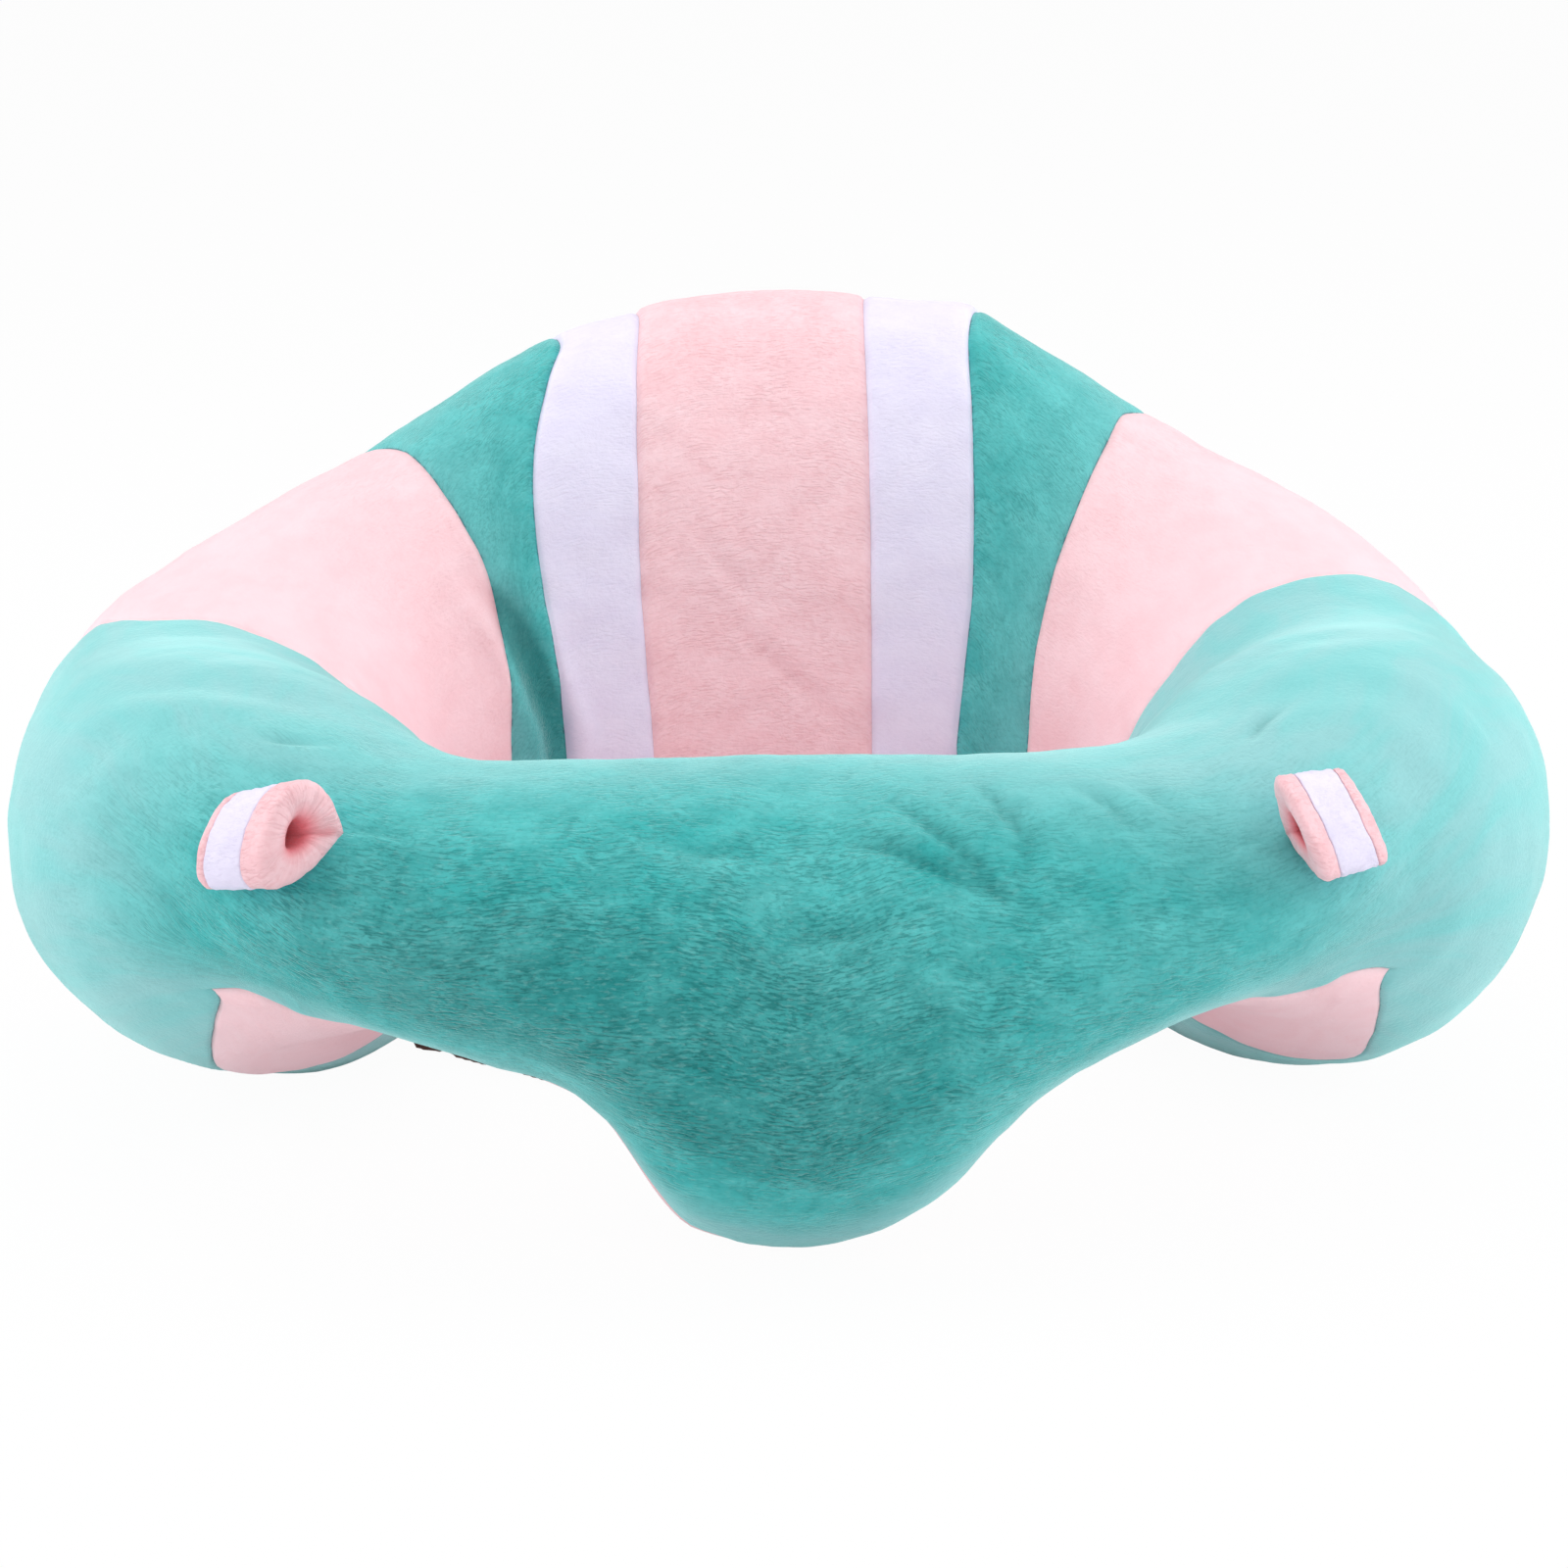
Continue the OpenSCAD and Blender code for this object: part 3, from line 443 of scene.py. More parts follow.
def new_object(name, points, faces, material, **attributes):
    """A smooth mesh object from points in millimetres, with named values or vectors at its points."""
    mesh = bpy.data.meshes.new(name)
    mesh.from_pydata((np.asarray(points) * MM).tolist(), [], [list(map(int, face)) for face in faces])
    mesh.validate()
    mesh.update()
    set_values(mesh, **attributes)
    mesh.polygons.foreach_set("use_smooth", [True] * len(mesh.polygons))
    mesh.materials.append(material)
    obj = bpy.data.objects.new(name, mesh)
    bpy.context.scene.collection.objects.link(obj)
    return obj


def thicken(obj, thickness):
    solid = obj.modifiers.new("thickness", "SOLIDIFY")
    solid.thickness = thickness * MM
    solid.offset = -1
    return obj


def grain_of(points, turn):
    """Coordinates of the cloth in metres: along the ring, and round its section from the top both ways."""
    top = int(np.argmin(np.abs(turn[len(turn) // 2] - TOP_TURN)))
    along = np.cumsum(np.r_[0, np.linalg.norm(np.diff(points[:, top], axis=0), axis=1)])
    steps = np.linalg.norm(points - np.roll(points, 1, 1), axis=2)
    round_it = np.cumsum(steps, 1) - np.cumsum(steps, 1)[:, top, None]
    length = steps.sum(1, keepdims=True)
    round_it = (round_it + length / 2) % length - length / 2
    return np.stack([np.broadcast_to(along[:, None], round_it.shape), round_it, 0 * round_it], -1) * MM


def panel(name, seams, material, covers=None):
    """A sewn panel of the ring from the first seam to the last, in the cells where covers(angle, row)
    holds."""
    parts = [spaced(a, b, ANGLE_STEP, NEAR_ANGLES)[:-1] for a, b in zip(seams, seams[1:])]
    around = np.concatenate([*parts, seams[-1:]])
    n = len(around)
    turn = turn_rows(around)
    points, gap, crease = skin(np.repeat(around[:, None], ROWS, 1), turn)
    grain = grain_of(points, turn)
    nap = nap_and_painted_light(np.repeat(around[:, None], ROWS, 1), turn)
    i, j = np.meshgrid(np.arange(n - 1), np.arange(ROWS), indexing="ij")
    held = np.ones_like(i, bool) if covers is None else covers((around[i] + around[i + 1]) / 2, j)
    i, j = i[held], j[held]
    k = (j + 1) % ROWS
    faces = np.stack([i * ROWS + j, (i + 1) * ROWS + j, (i + 1) * ROWS + k, i * ROWS + k], -1)
    used, faces = np.unique(faces, return_inverse=True)
    obj = new_object(
        name, points.reshape(-1, 3)[used], faces.reshape(-1, 4), material,
        grain=grain.reshape(-1, 3)[used], seam=gap.ravel()[used] * MM, nap=nap.ravel()[used],
        crease=crease.ravel()[used],
    )
    return thicken(obj, CLOTH_T)


# How far the stuffing lies under the skin, its lumps' height as a share of its reach and their wave, and
# its steps in angle and turn
WADDING_INSET = 5.0
WADDING_LUMP = 0.02
WADDING_WAVE = 14
WADDING_STEP = (2.5, 5.0)


def wadding(name, start, end):
    """A portion of the stuffing: it fills the ring between two angles, and is closed at each end by a fan to
    the middle of that end.
    """
    around = np.linspace(start, end, math.ceil(abs(end - start) / WADDING_STEP[0]))
    turn = np.arange(0, 360, WADDING_STEP[1])
    angle, turn = np.meshgrid(around, turn, indexing="ij")
    points = skin(angle, turn, WADDING_INSET)[0]
    middle = points.mean(1, keepdims=True)
    loose = points + (points - middle) * WADDING_LUMP * noise(points / WADDING_WAVE + 31)[..., None]
    n, m = angle.shape
    faces = [
        (i * m + j, (i + 1) * m + j, (i + 1) * m + (j + 1) % m, i * m + (j + 1) % m)
        for i in range(n - 1) for j in range(m)
    ]
    ends = loose[[0, -1]].mean(1)
    for row, tip, flip in ((0, n * m, False), (n - 1, n * m + 1, True)):
        for j in range(m):
            edge = (row * m + (j + 1) % m, row * m + j)
            faces.append((tip, *(edge if flip else edge[::-1]))[::-1])
    return new_object(name, np.concatenate([loose.reshape(-1, 3), ends]), faces, WADDING)


# ---------------------------------------------------------------- materials

def srgb(red, green, blue):
    """Linear colour with alpha, from a colour in 0 to 255."""
    def linear(c):
        c /= 255
        return c / 12.92 if c <= 0.04045 else ((c + 0.055) / 1.055) ** 2.4
    return (linear(red), linear(green), linear(blue), 1)


class Nodes:
    """A material's node tree, built by name."""

    def __init__(self, name):
        self.material = bpy.data.materials.new(name)
        self.material.use_nodes = True
        self.tree = self.material.node_tree
        self.tree.nodes.clear()
        self.out = self.add("OutputMaterial")

    def add(self, kind, **settings):
        node = self.tree.nodes.new("ShaderNode" + kind)
        for key, value in settings.items():
            setattr(node, key, value)
        return node

    def link(self, a, b):
        self.tree.links.new(a, b)

    def feed(self, socket, value):
        """Links a socket to another, or sets its number or colour."""
        if hasattr(value, "is_linked"):
            self.link(value, socket)
        else:
            socket.default_value = value

    def body(self):
        """The object's coordinates, in metres."""
        return self.add("TexCoord").outputs["Object"]

    def cloth(self):
        """Coordinates along and across the cloth's grain, in metres."""
        return self.add("Attribute", attribute_name="grain").outputs["Vector"]

    def value(self, name):
        """A number that the mesh's points carry."""
        return self.add("Attribute", attribute_name=name).outputs["Fac"]

    def scaled(self, vector, scale):
        mapping = self.add("Mapping")
        self.link(vector, mapping.inputs["Vector"])
        mapping.inputs["Scale"].default_value = scale
        return mapping.outputs["Vector"]

    def noise_node(self, vector, waves, detail, rough):
        """Noise whose waves have the given lengths in millimetres."""
        node = self.add("TexNoise")
        node.inputs["Scale"].default_value = 1
        node.inputs["Detail"].default_value = detail
        node.inputs["Roughness"].default_value = rough
        self.link(self.scaled(vector, tuple(1 / (MM * wave) for wave in waves)), node.inputs["Vector"])
        return node

    def noise(self, vector, waves, detail=2.0, rough=0.5):
        return self.noise_node(vector, waves, detail, rough).outputs["Fac"]

    def warped(self, vector, wave, reach):
        """The coordinates moved about by noise, by up to about reach millimetres."""
        shift = self.add("VectorMath", operation="MULTIPLY_ADD")
        self.link(self.noise_node(vector, (wave, wave, wave), 1.0, 0.5).outputs["Color"], shift.inputs[0])
        shift.inputs[1].default_value = (2 * reach * MM,) * 3
        shift.inputs[2].default_value = (-reach * MM,) * 3
        total = self.add("VectorMath", operation="ADD")
        self.link(vector, total.inputs[0])
        self.link(shift.outputs["Vector"], total.inputs[1])
        return total.outputs["Vector"]

    def ramp(self, value, low, high, out_low=0.0, out_high=1.0):
        node = self.add("MapRange", clamp=True, interpolation_type="SMOOTHSTEP")
        for key, number in (("From Min", low), ("From Max", high), ("To Min", out_low), ("To Max", out_high)):
            node.inputs[key].default_value = number
        self.link(value, node.inputs["Value"])
        return node.outputs["Result"]

    def mix(self, factor, a, b):
        node = self.add("Mix", data_type="RGBA")
        self.feed(node.inputs["Factor"], factor)
        self.feed(node.inputs[6], a)
        self.feed(node.inputs[7], b)
        return node.outputs[2]

    def math(self, operation, a, b):
        node = self.add("Math", operation=operation)
        self.feed(node.inputs[0], a)
        self.feed(node.inputs[1], b)
        return node.outputs["Value"]

    def times(self, first, *others):
        """The product of some values."""
        for other in others:
            first = self.math("MULTIPLY", first, other)
        return first

    def bump(self, height, depth, strength):
        """Normal for a height from 0 to 1, depth millimetres deep."""
        node = self.add("Bump")
        node.inputs["Strength"].default_value = strength
        node.inputs["Distance"].default_value = depth * MM
        self.link(height, node.inputs["Height"])
        return node.outputs["Normal"]

    def finish(self, shader):
        self.link(shader.outputs["BSDF"], self.out.inputs["Surface"])
        return self.material


# Width of the stitched line at a seam
SEAM_LINE = 0.7
# The deeper pink inside a toy loop, painted shade
HOLLOW_SHADE_PINK = srgb(240, 112, 124)


def plush(name, deep, middle, light, tip, streak=1.0, sheen=1.0, smooth=None, stitched=None, hollow=None):
    """Short-pile plush. The nap lies in brushed patches, lighter where it leans to the light. Where the pile
    is least ruffled a smooth colour makes it paler, a painted sheen, and where it is most ruffled it turns
    darker, painted shade. Where it is ruffled there are dark slits between the rows of pile, a few
    millimetres long and along the grain, and clumps of it stand up and look darker. The narrow creases are
    darkened, painted shade, and inside a toy loop the colour turns a deeper pink, painted shade."""
    n = Nodes(name)
    body, cloth = n.body(), n.cloth()
    grain = n.warped(n.warped(cloth, 30, 2.5), 7, 0.7)
    ruffled = n.value("nap")
    nap = n.times(ruffled, streak)
    # Patches brushed one way, smaller brushed spots, and clumps of standing pile
    patches = n.ramp(n.noise(n.warped(cloth, 50, 14), (52, 20, 30), 3.0, 0.6), 0.36, 0.66)
    brushed = n.ramp(n.noise(n.warped(body, 18, 5), (12, 12, 8), 2.0), 0.36, 0.66)
    clumps = n.ramp(n.noise(n.warped(cloth, 14, 5), (10, 6, 8), 3.0, 0.65), 0.36, 0.62)
    # Slits along the grain, deeper in some places than in others, pale tips, and the finest tufts
    slits = n.ramp(n.noise(grain, (3.1, 0.72, 3), 2.0, 0.55), 0.36, 0.54, 1.0, 0.0)
    where = n.ramp(n.noise(body, (16, 16, 11), 2.0), 0.34, 0.6, 0.3, 1.0)
    slits = n.times(slits, where, nap)
    tips = n.ramp(n.noise(grain, (2.0, 0.8, 2), 2.0, 0.6), 0.5, 0.74)
    tufts = n.noise(n.warped(body, 9, 2), (1.7, 1.7, 1.1), 3.0, 0.6)

    colour = n.mix(n.times(brushed, 0.3), middle, light)
    # The smooth colour is a painted sheen: a paler colour laid on where the pile is least ruffled, mostly on
    # the arms
    if smooth:
        colour = n.mix(n.ramp(ruffled, 0.08, 0.5, 1.0, 0.0), colour, smooth)
    colour = n.mix(n.times(patches, 0.5), colour, light)
    darker = [
        n.times(clumps, 0.32, nap),
        # Painted shade: darker where the pile is most ruffled, on the front of the bar
        n.times(n.ramp(ruffled, 0.62, 1.0, 0.0, 0.37), streak),
        # Painted shade along the narrow folds
        n.ramp(n.value("crease"), 0.1, 2.2, 0.0, 0.5),
        n.times(slits, 0.58),
        n.times(n.ramp(tufts, 0.3, 0.52, 0.4, 0.0), nap),
    ]
    for share in darker:
        colour = n.mix(share, colour, deep)
    colour = n.mix(n.times(tips, 0.14, nap), colour, tip)
    # Painted shade: a deeper pink inside a toy loop and along its folded line
    if hollow:
        colour = n.mix(n.value("hollow"), colour, hollow)
    if stitched:
        dots = n.ramp(n.noise(body, (2.6, 2.6, 2.6), 0.0), 0.44, 0.6, 0.0, 0.55)
        line = n.ramp(n.value("seam"), 0, SEAM_LINE * MM, 1.0, 0.0)
        colour = n.mix(n.times(line, dots), colour, stitched)

    shader = n.add("BsdfPrincipled")
    shader.inputs["Roughness"].default_value = 0.9
    shader.inputs["Specular IOR Level"].default_value = 0.1
    shader.inputs["Sheen Weight"].default_value = sheen
    shader.inputs["Sheen Roughness"].default_value = 0.35
    shader.inputs["Sheen Tint"].default_value = tip
    n.link(colour, shader.inputs["Base Color"])
    height = n.math("SUBTRACT", n.times(tufts, 0.45), n.times(slits, 0.6))
    height = n.math("ADD", height, n.times(tips, 0.2, nap))
    n.link(n.bump(height, 1.0, 0.6), shader.inputs["Normal"])
    return n.finish(shader)


# The teal's smooth colour is a painted sheen on the arms and low on the bar
TEAL = plush("teal_plush", srgb(8, 98, 97), srgb(66, 180, 179), srgb(110, 206, 205), srgb(190, 237, 235),
             smooth=srgb(146, 202, 204), stitched=srgb(70, 60, 92))
PINK = plush("pink_plush", srgb(228, 158, 166), srgb(251, 208, 214), srgb(254, 220, 226),
             srgb(255, 230, 236), streak=0.7, sheen=0.4, hollow=HOLLOW_SHADE_PINK)
LILAC = plush("lilac_plush", srgb(196, 186, 216), srgb(230, 224, 246), srgb(238, 233, 250),
              srgb(246, 242, 255), streak=0.3, sheen=0.5, hollow=HOLLOW_SHADE_PINK)


def plain(name, colour, rough=0.9, metallic=0.0, grain=(2.5, 2.5, 2.5), contrast=0.25, depth=0.4):
    """A matte or metal finish with a fine grain, of waves with the given lengths in millimetres."""
    n = Nodes(name)
    grains = n.ramp(n.noise(n.body(), grain, 3.0), 0.3, 0.7)
    dark = tuple(c * (1 - contrast) for c in colour[:3]) + (1,)
    shader = n.add("BsdfPrincipled")
    shader.inputs["Metallic"].default_value = metallic
    n.link(n.ramp(grains, 0, 1, rough - 0.08, rough), shader.inputs["Roughness"])
    n.link(n.mix(grains, dark, colour), shader.inputs["Base Color"])
    n.link(n.bump(grains, depth, 0.5), shader.inputs["Normal"])
    return n.finish(shader)


WADDING = plain("wadding", srgb(244, 242, 236), grain=(6, 6, 6), depth=2)
FOAM = plain("foam", srgb(239, 227, 180), grain=(1.1, 1.1, 1.1))
SOLE = plain("quilted_sole", srgb(132, 88, 80), grain=(0.8, 0.8, 0.8), contrast=0.4)
TAPE = plain("zip_tape", srgb(98, 62, 58), grain=(0.6, 3.3, 1.7), contrast=0.35)
BRASS = plain("zip_brass", srgb(196, 170, 116), rough=0.35, metallic=1.0, contrast=0.15, depth=0.05)

# ---------------------------------------------------------------- soft pieces blown up as cloth

# Frames simulated, size of the faces, pressure, the furthest that a point may move, and the gap that stays
# between a cushion and its neighbours
INFLATE_FRAMES = 20
CUSHION_VOXEL = 4.5
CUSHION_PRESSURE = 3.5
CUSHION_CAP = 6.0
CUSHION_GAP = 0.5
# Distance within which a point is moved out of another object
CLEAR_REACH = 12


def coordinates(mesh):
    values = np.empty(len(mesh.vertices) * 3)
    mesh.vertices.foreach_get("co", values)
    return values.reshape(-1, 3)


def evaluated(obj):
    """The mesh of an object with its modifiers applied."""
    graph = bpy.context.evaluated_depsgraph_get()
    return bpy.data.meshes.new_from_object(obj.evaluated_get(graph), depsgraph=graph)


def settle(obj):
    """Applies an object's modifiers to its mesh."""
    mesh = evaluated(obj)
    obj.modifiers.clear()
    obj.data = mesh
    mesh.polygons.foreach_set("use_smooth", [True] * len(mesh.polygons))
    return obj


def remeshed_copy(name, node, voxel, material):
    """A copy of a CAD node's mesh with even small faces."""
    mesh = frame["nodes"][node].data.copy()
    mesh.materials.clear()
    mesh.materials.append(material)
    obj = bpy.data.objects.new(name, mesh)
    bpy.context.scene.collection.objects.link(obj)
    remesh = obj.modifiers.new("remesh", "REMESH")
    remesh.mode = "VOXEL"
    remesh.voxel_size = voxel * MM
    return settle(obj)


def vertex_normals(mesh):
    values = np.empty(len(mesh.vertices) * 3)
    mesh.vertex_normals.foreach_get("vector", values)
    return values.reshape(-1, 3)


def move_points(mesh, points):
    mesh.vertices.foreach_set("co", np.asarray(points).ravel())
    mesh.update()


def inflate(obj, pressure, cap):
    """Blows a closed mesh up as cloth. No point moves further than cap."""
    start = coordinates(obj.data)
    cloth = obj.modifiers.new("inflate", "CLOTH")
    cloth.settings.use_pressure = True
    cloth.settings.uniform_pressure_force = pressure
    cloth.settings.effector_weights.gravity = 0
    for step in range(1, INFLATE_FRAMES + 1):
        bpy.context.scene.frame_set(step)
    end = coordinates(evaluated(obj))
    obj.modifiers.clear()
    bpy.context.scene.frame_set(1)
    way = end - start
    far = np.linalg.norm(way, axis=1, keepdims=True)
    move_points(obj.data, start + way * np.minimum(1, cap * MM / np.maximum(far, 1e-9)))


def kept_clear(points, others, gap):
    """Points moved out of other closed objects, and gap millimetres clear of them."""
    for other in others:
        tree = BVHTree.FromPolygons(
            [v.co for v in other.data.vertices], [p.vertices[:] for p in other.data.polygons])
        for i, point in enumerate(points):
            hit, normal, *_ = tree.find_nearest(Vector(point), CLEAR_REACH * MM)
            if hit is not None:
                out = (Vector(point) - hit).dot(normal)
                if out < gap * MM:
                    points[i] = Vector(point) + normal * (gap * MM - out)
    return points


# ---------------------------------------------------------------- the pieces

def declare(obj, node, body=BODY):
    """Hides the CAD part that a soft piece stands for, and hangs the piece on the body that it rides on."""
    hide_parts(node)
    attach(obj, body)
    return obj


def is_lining(angle, row):
    return (np.abs(angle) < LINING_SEAM) & (row < LINING_ROWS)


COVER_SEAMS = [-SHOULDER_SEAM, -LINING_SEAM, LINING_SEAM, SHOULDER_SEAM]
RING_PANELS = [
    ("front_cover", COVER_SEAMS, TEAL, "teal_plush", lambda a, r: ~is_lining(a, r)),
    ("leg_lining", [-LINING_SEAM, LINING_SEAM], PINK, "pink_plush", is_lining),
    ("shoulder_right", [SHOULDER_SEAM, SIDE_SEAM], PINK, "pink_plush", None),
    ("shoulder_left", [360 - SIDE_SEAM, 360 - SHOULDER_SEAM], PINK, "pink_plush", None),
    ("back_side_right", [SIDE_SEAM, STRIPE_SEAM], TEAL, "teal_plush", None),
    ("back_side_left", [360 - STRIPE_SEAM, 360 - SIDE_SEAM], TEAL, "teal_plush", None),
    ("back_stripe_right", [STRIPE_SEAM, CENTRE_SEAM], LILAC, "lilac_plush", None),
    ("back_stripe_left", [360 - CENTRE_SEAM, 360 - STRIPE_SEAM], LILAC, "lilac_plush", None),
    ("back_centre_panel", [CENTRE_SEAM, 360 - CENTRE_SEAM], PINK, "pink_plush", None),
]
for node, seams, material, slot, covers in RING_PANELS:
    declare(panel(node + "_plush", seams, material, covers), node)

ring_fillings = []
for node, start, end in (
    ("bar_filling", -LINING_SEAM, LINING_SEAM),
    ("arm_filling_right", LINING_SEAM, SIDE_SEAM),
    ("arm_filling_left", 360 - SIDE_SEAM, 360 - LINING_SEAM),
    ("back_filling", SIDE_SEAM, 360 - SIDE_SEAM),
):
    filling = wadding(node + "_wadding", start, end)
    ring_fillings.append(declare(filling, node))

# The seat pad: the foam's shape, blown up until it fills the room in the ring, inside its cover.
SOLE_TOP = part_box("sole_front")[1][2] / MM
# How far the pad and its foam are grown sideways and upwards from the CAD's foam
PAD_GROW = (3.0, 0.5)
FOAM_GROW = (-6.0, -3.0)


def cushion(name, node, material, grow, cap):
    """A copy of a CAD cushion, grown sideways and upwards and then blown up by at most cap, that rests on
    the sole and stays clear of the ring."""
    obj = remeshed_copy(name, node, CUSHION_VOXEL, material)
    mesh = obj.data
    move_points(mesh, coordinates(mesh) + vertex_normals(mesh) * np.array([grow[0], grow[0], grow[1]]) * MM)
    if cap:
        inflate(obj, CUSHION_PRESSURE, cap)
    points = coordinates(obj.data)
    points = kept_clear(points, ring_fillings, WADDING_INSET + CUSHION_GAP + max(0, -grow[0]))
    points[:, 2] = np.maximum(points[:, 2], (SOLE_TOP + CUSHION_GAP) * MM)
    move_points(obj.data, points)
    obj.modifiers.new("smooth", "SUBSURF").levels = 1
    settle(obj)
    count = len(obj.data.vertices)
    set_values(obj.data, grain=coordinates(obj.data), seam=np.ones(count), nap=np.full(count, NAP_PAD))
    return obj


pad = thicken(cushion("seat_pad_plush", "seat_foam", PINK, PAD_GROW, CUSHION_CAP), CLOTH_T)
declare(pad, "seat_pad_cover")
foam = cushion("seat_foam_block", "seat_foam", FOAM, FOAM_GROW, 0)
declare(foam, "seat_foam")

# The sole: two halves of quilted cloth, sewn in diamonds. The pitch and width of the sewn lines, and how
# much thinner the cloth is there
QUILT = 26
QUILT_W = 2.4
QUILT_SHARE = 0.5
SOLE_VOXEL = 2.6
# Smoothing of the outline, unevenness of the thickness and of the edge, and their waves
EDGE_ROUNDS, EDGE_SMOOTH = 8, 0.5
QUILT_LUMP, QUILT_WAVE = 0.1, 9
EDGE_WANDER, EDGE_WAVE = 0.2, 12
# The front half lies a little askew, by this share of its distance from the middle
SOLE_SKEW = 0.045
SOLE_SKEW_REACH = 90


def quilt(name, node):
    """A quilted copy of a half of the sole. Its rim keeps its full thickness."""
    obj = remeshed_copy(name, node, SOLE_VOXEL, SOLE)
    smooth = obj.modifiers.new("even_edge", "SMOOTH")
    smooth.factor, smooth.iterations, smooth.use_z = EDGE_SMOOTH, EDGE_ROUNDS, False
    settle(obj)
    points = coordinates(obj.data) / MM
    lines = [(points[:, 0] + side * points[:, 1]) / math.sqrt(2) for side in (-1, 1)]
    gap = np.min([np.abs((line + QUILT / 2) % QUILT - QUILT / 2) for line in lines], 0)
    flat = np.abs(vertex_normals(obj.data)[:, 2])
    lump = QUILT_LUMP * noise(points / QUILT_WAVE)
    thin = 1 - (QUILT_SHARE * np.exp(-(gap / QUILT_W) ** 2) + lump) * flat
    points[:, 2] = SOLE_TOP / 2 + (points[:, 2] - SOLE_TOP / 2) * thin
    points[:, :2] += EDGE_WANDER * noise(points / EDGE_WAVE + 50)[:, None] * vertex_normals(obj.data)[:, :2]
    points[:, 2] = np.maximum(points[:, 2], 0)
    if node == "sole_front":
        forward = np.clip((points[:, 1].max() - points[:, 1]) / SOLE_SKEW_REACH, 0, 1)
        points[:, 1] -= SOLE_SKEW * points[:, 0] * forward ** 2
    move_points(obj.data, points * MM)
    return obj


for node in ("sole_front", "sole_rear"):
    declare(quilt(node + "_quilt", node), node)

for node, material in (
    ("zip_tape_front", TAPE), ("zip_tape_rear", TAPE), ("zip_teeth_front", BRASS), ("zip_teeth_rear", BRASS),
    ("zip_stops", BRASS), ("zip_slider", BRASS), ("zip_pull", BRASS),
):
    mesh = frame["nodes"][node].data
    mesh.materials.clear()
    mesh.materials.append(material)

# ---------------------------------------------------------------- the toy loops

# The band's width and thickness, how full its drop shape is, and the widest value of that shape
LOOP_W = 30
LOOP_T = 7
LOOP_FULLNESS = 0.9
LOOP_WIDEST = 0.78
# Steps round the loop and round a rim, and the step across the band
LOOP_STEPS = 96
ROUND_STEPS = 5
ACROSS_STEP = 1.5
# The lilac stripe's edges across the band
STRIPE = {"right": (-9.5, 6.5), "left": (-10.5, 4.5)}
RIM_ROUND = 3.2
# The hole left in the folded band: its size and place along the reach, and the width of the folded line from
# it to the root, which is painted as shade
HOLE, HOLE_AT, CREASE_W = 0.26, 0.62, 1.3
SEAM_ROUND = 0.7
# How far the loop's root is sunk in the bar
LOOP_SEAT = 1.2
LOOP_NAP = 0.8
# The band's unevenness, out and up: height, wave and place in the noise
LOOP_LUMPS = [(0.4, 5, 0), (0.45, 2.2, 7)]
# Each loop's height and reach, its turn about the way out in degrees, the root's shift along the
# seam and up, its lean along the seam (by height) and swing (by reach), its droop (by reach), and how
# much higher and longer the side nearer the middle is
LOOP_SHAPES = {
    "right": dict(high=28, reach=22, turn=16, shift=-10, lift=0.5, lean=0.42, swing=0.75, droop=-0.08,
                  taper=0.1, long=0.15),
    "left": dict(high=26, reach=20, turn=26, shift=-1, lift=5, lean=0.38, swing=-0.4, droop=0.06,
                 taper=0.12, long=0.3),
}


def loop_axes(side):
    """A toy loop's place on the bar, and its ways along the seam to the middle, up and out."""
    joint = next(j for j in frame["joints"] if j["name"] == f"loop_{side}_flop")
    root = np.array(joint["pos_m"]) / MM
    along = np.array(joint["axis"])
    out = coordinates(frame["nodes"]["loop_stripe_" + side].data).mean(0) / MM - root
    out -= along * (out @ along)
    out /= np.linalg.norm(out)
    if along[0] * root[0] > 0:
        along = -along
    up = np.cross(out, along)
    up *= np.sign(up[2])
    turn = math.radians(LOOP_SHAPES[side]["turn"])
    along, up = along * math.cos(turn) + up * math.sin(turn), up * math.cos(turn) - along * math.sin(turn)
    return root, along, up, out


def band_section(start, end, round_start, round_end):
    """Outline of the band across its width: points (across, depth), outside first."""
    quarter = np.radians(np.linspace(0, 90, ROUND_STEPS))
    points = []
    for x, r, toward in ((end, round_end, 1), (start, round_start, -1)):
        corner = [(x - toward * r * (1 - math.sin(q)), r * (1 - math.cos(q))) for q in quarter]
        inner = [(a, LOOP_T - d) for a, d in corner[::-1]]
        points.append(corner + inner)
    count = int((end - start) / ACROSS_STEP)
    rest = np.linspace(0, 1, count)[1:-1]
    outside = [(start + round_start + (end - start - round_start - round_end) * t, 0) for t in rest]
    inside = [(a, LOOP_T) for a, _ in outside[::-1]]
    return np.array(outside + points[0] + inside + points[1][::-1])


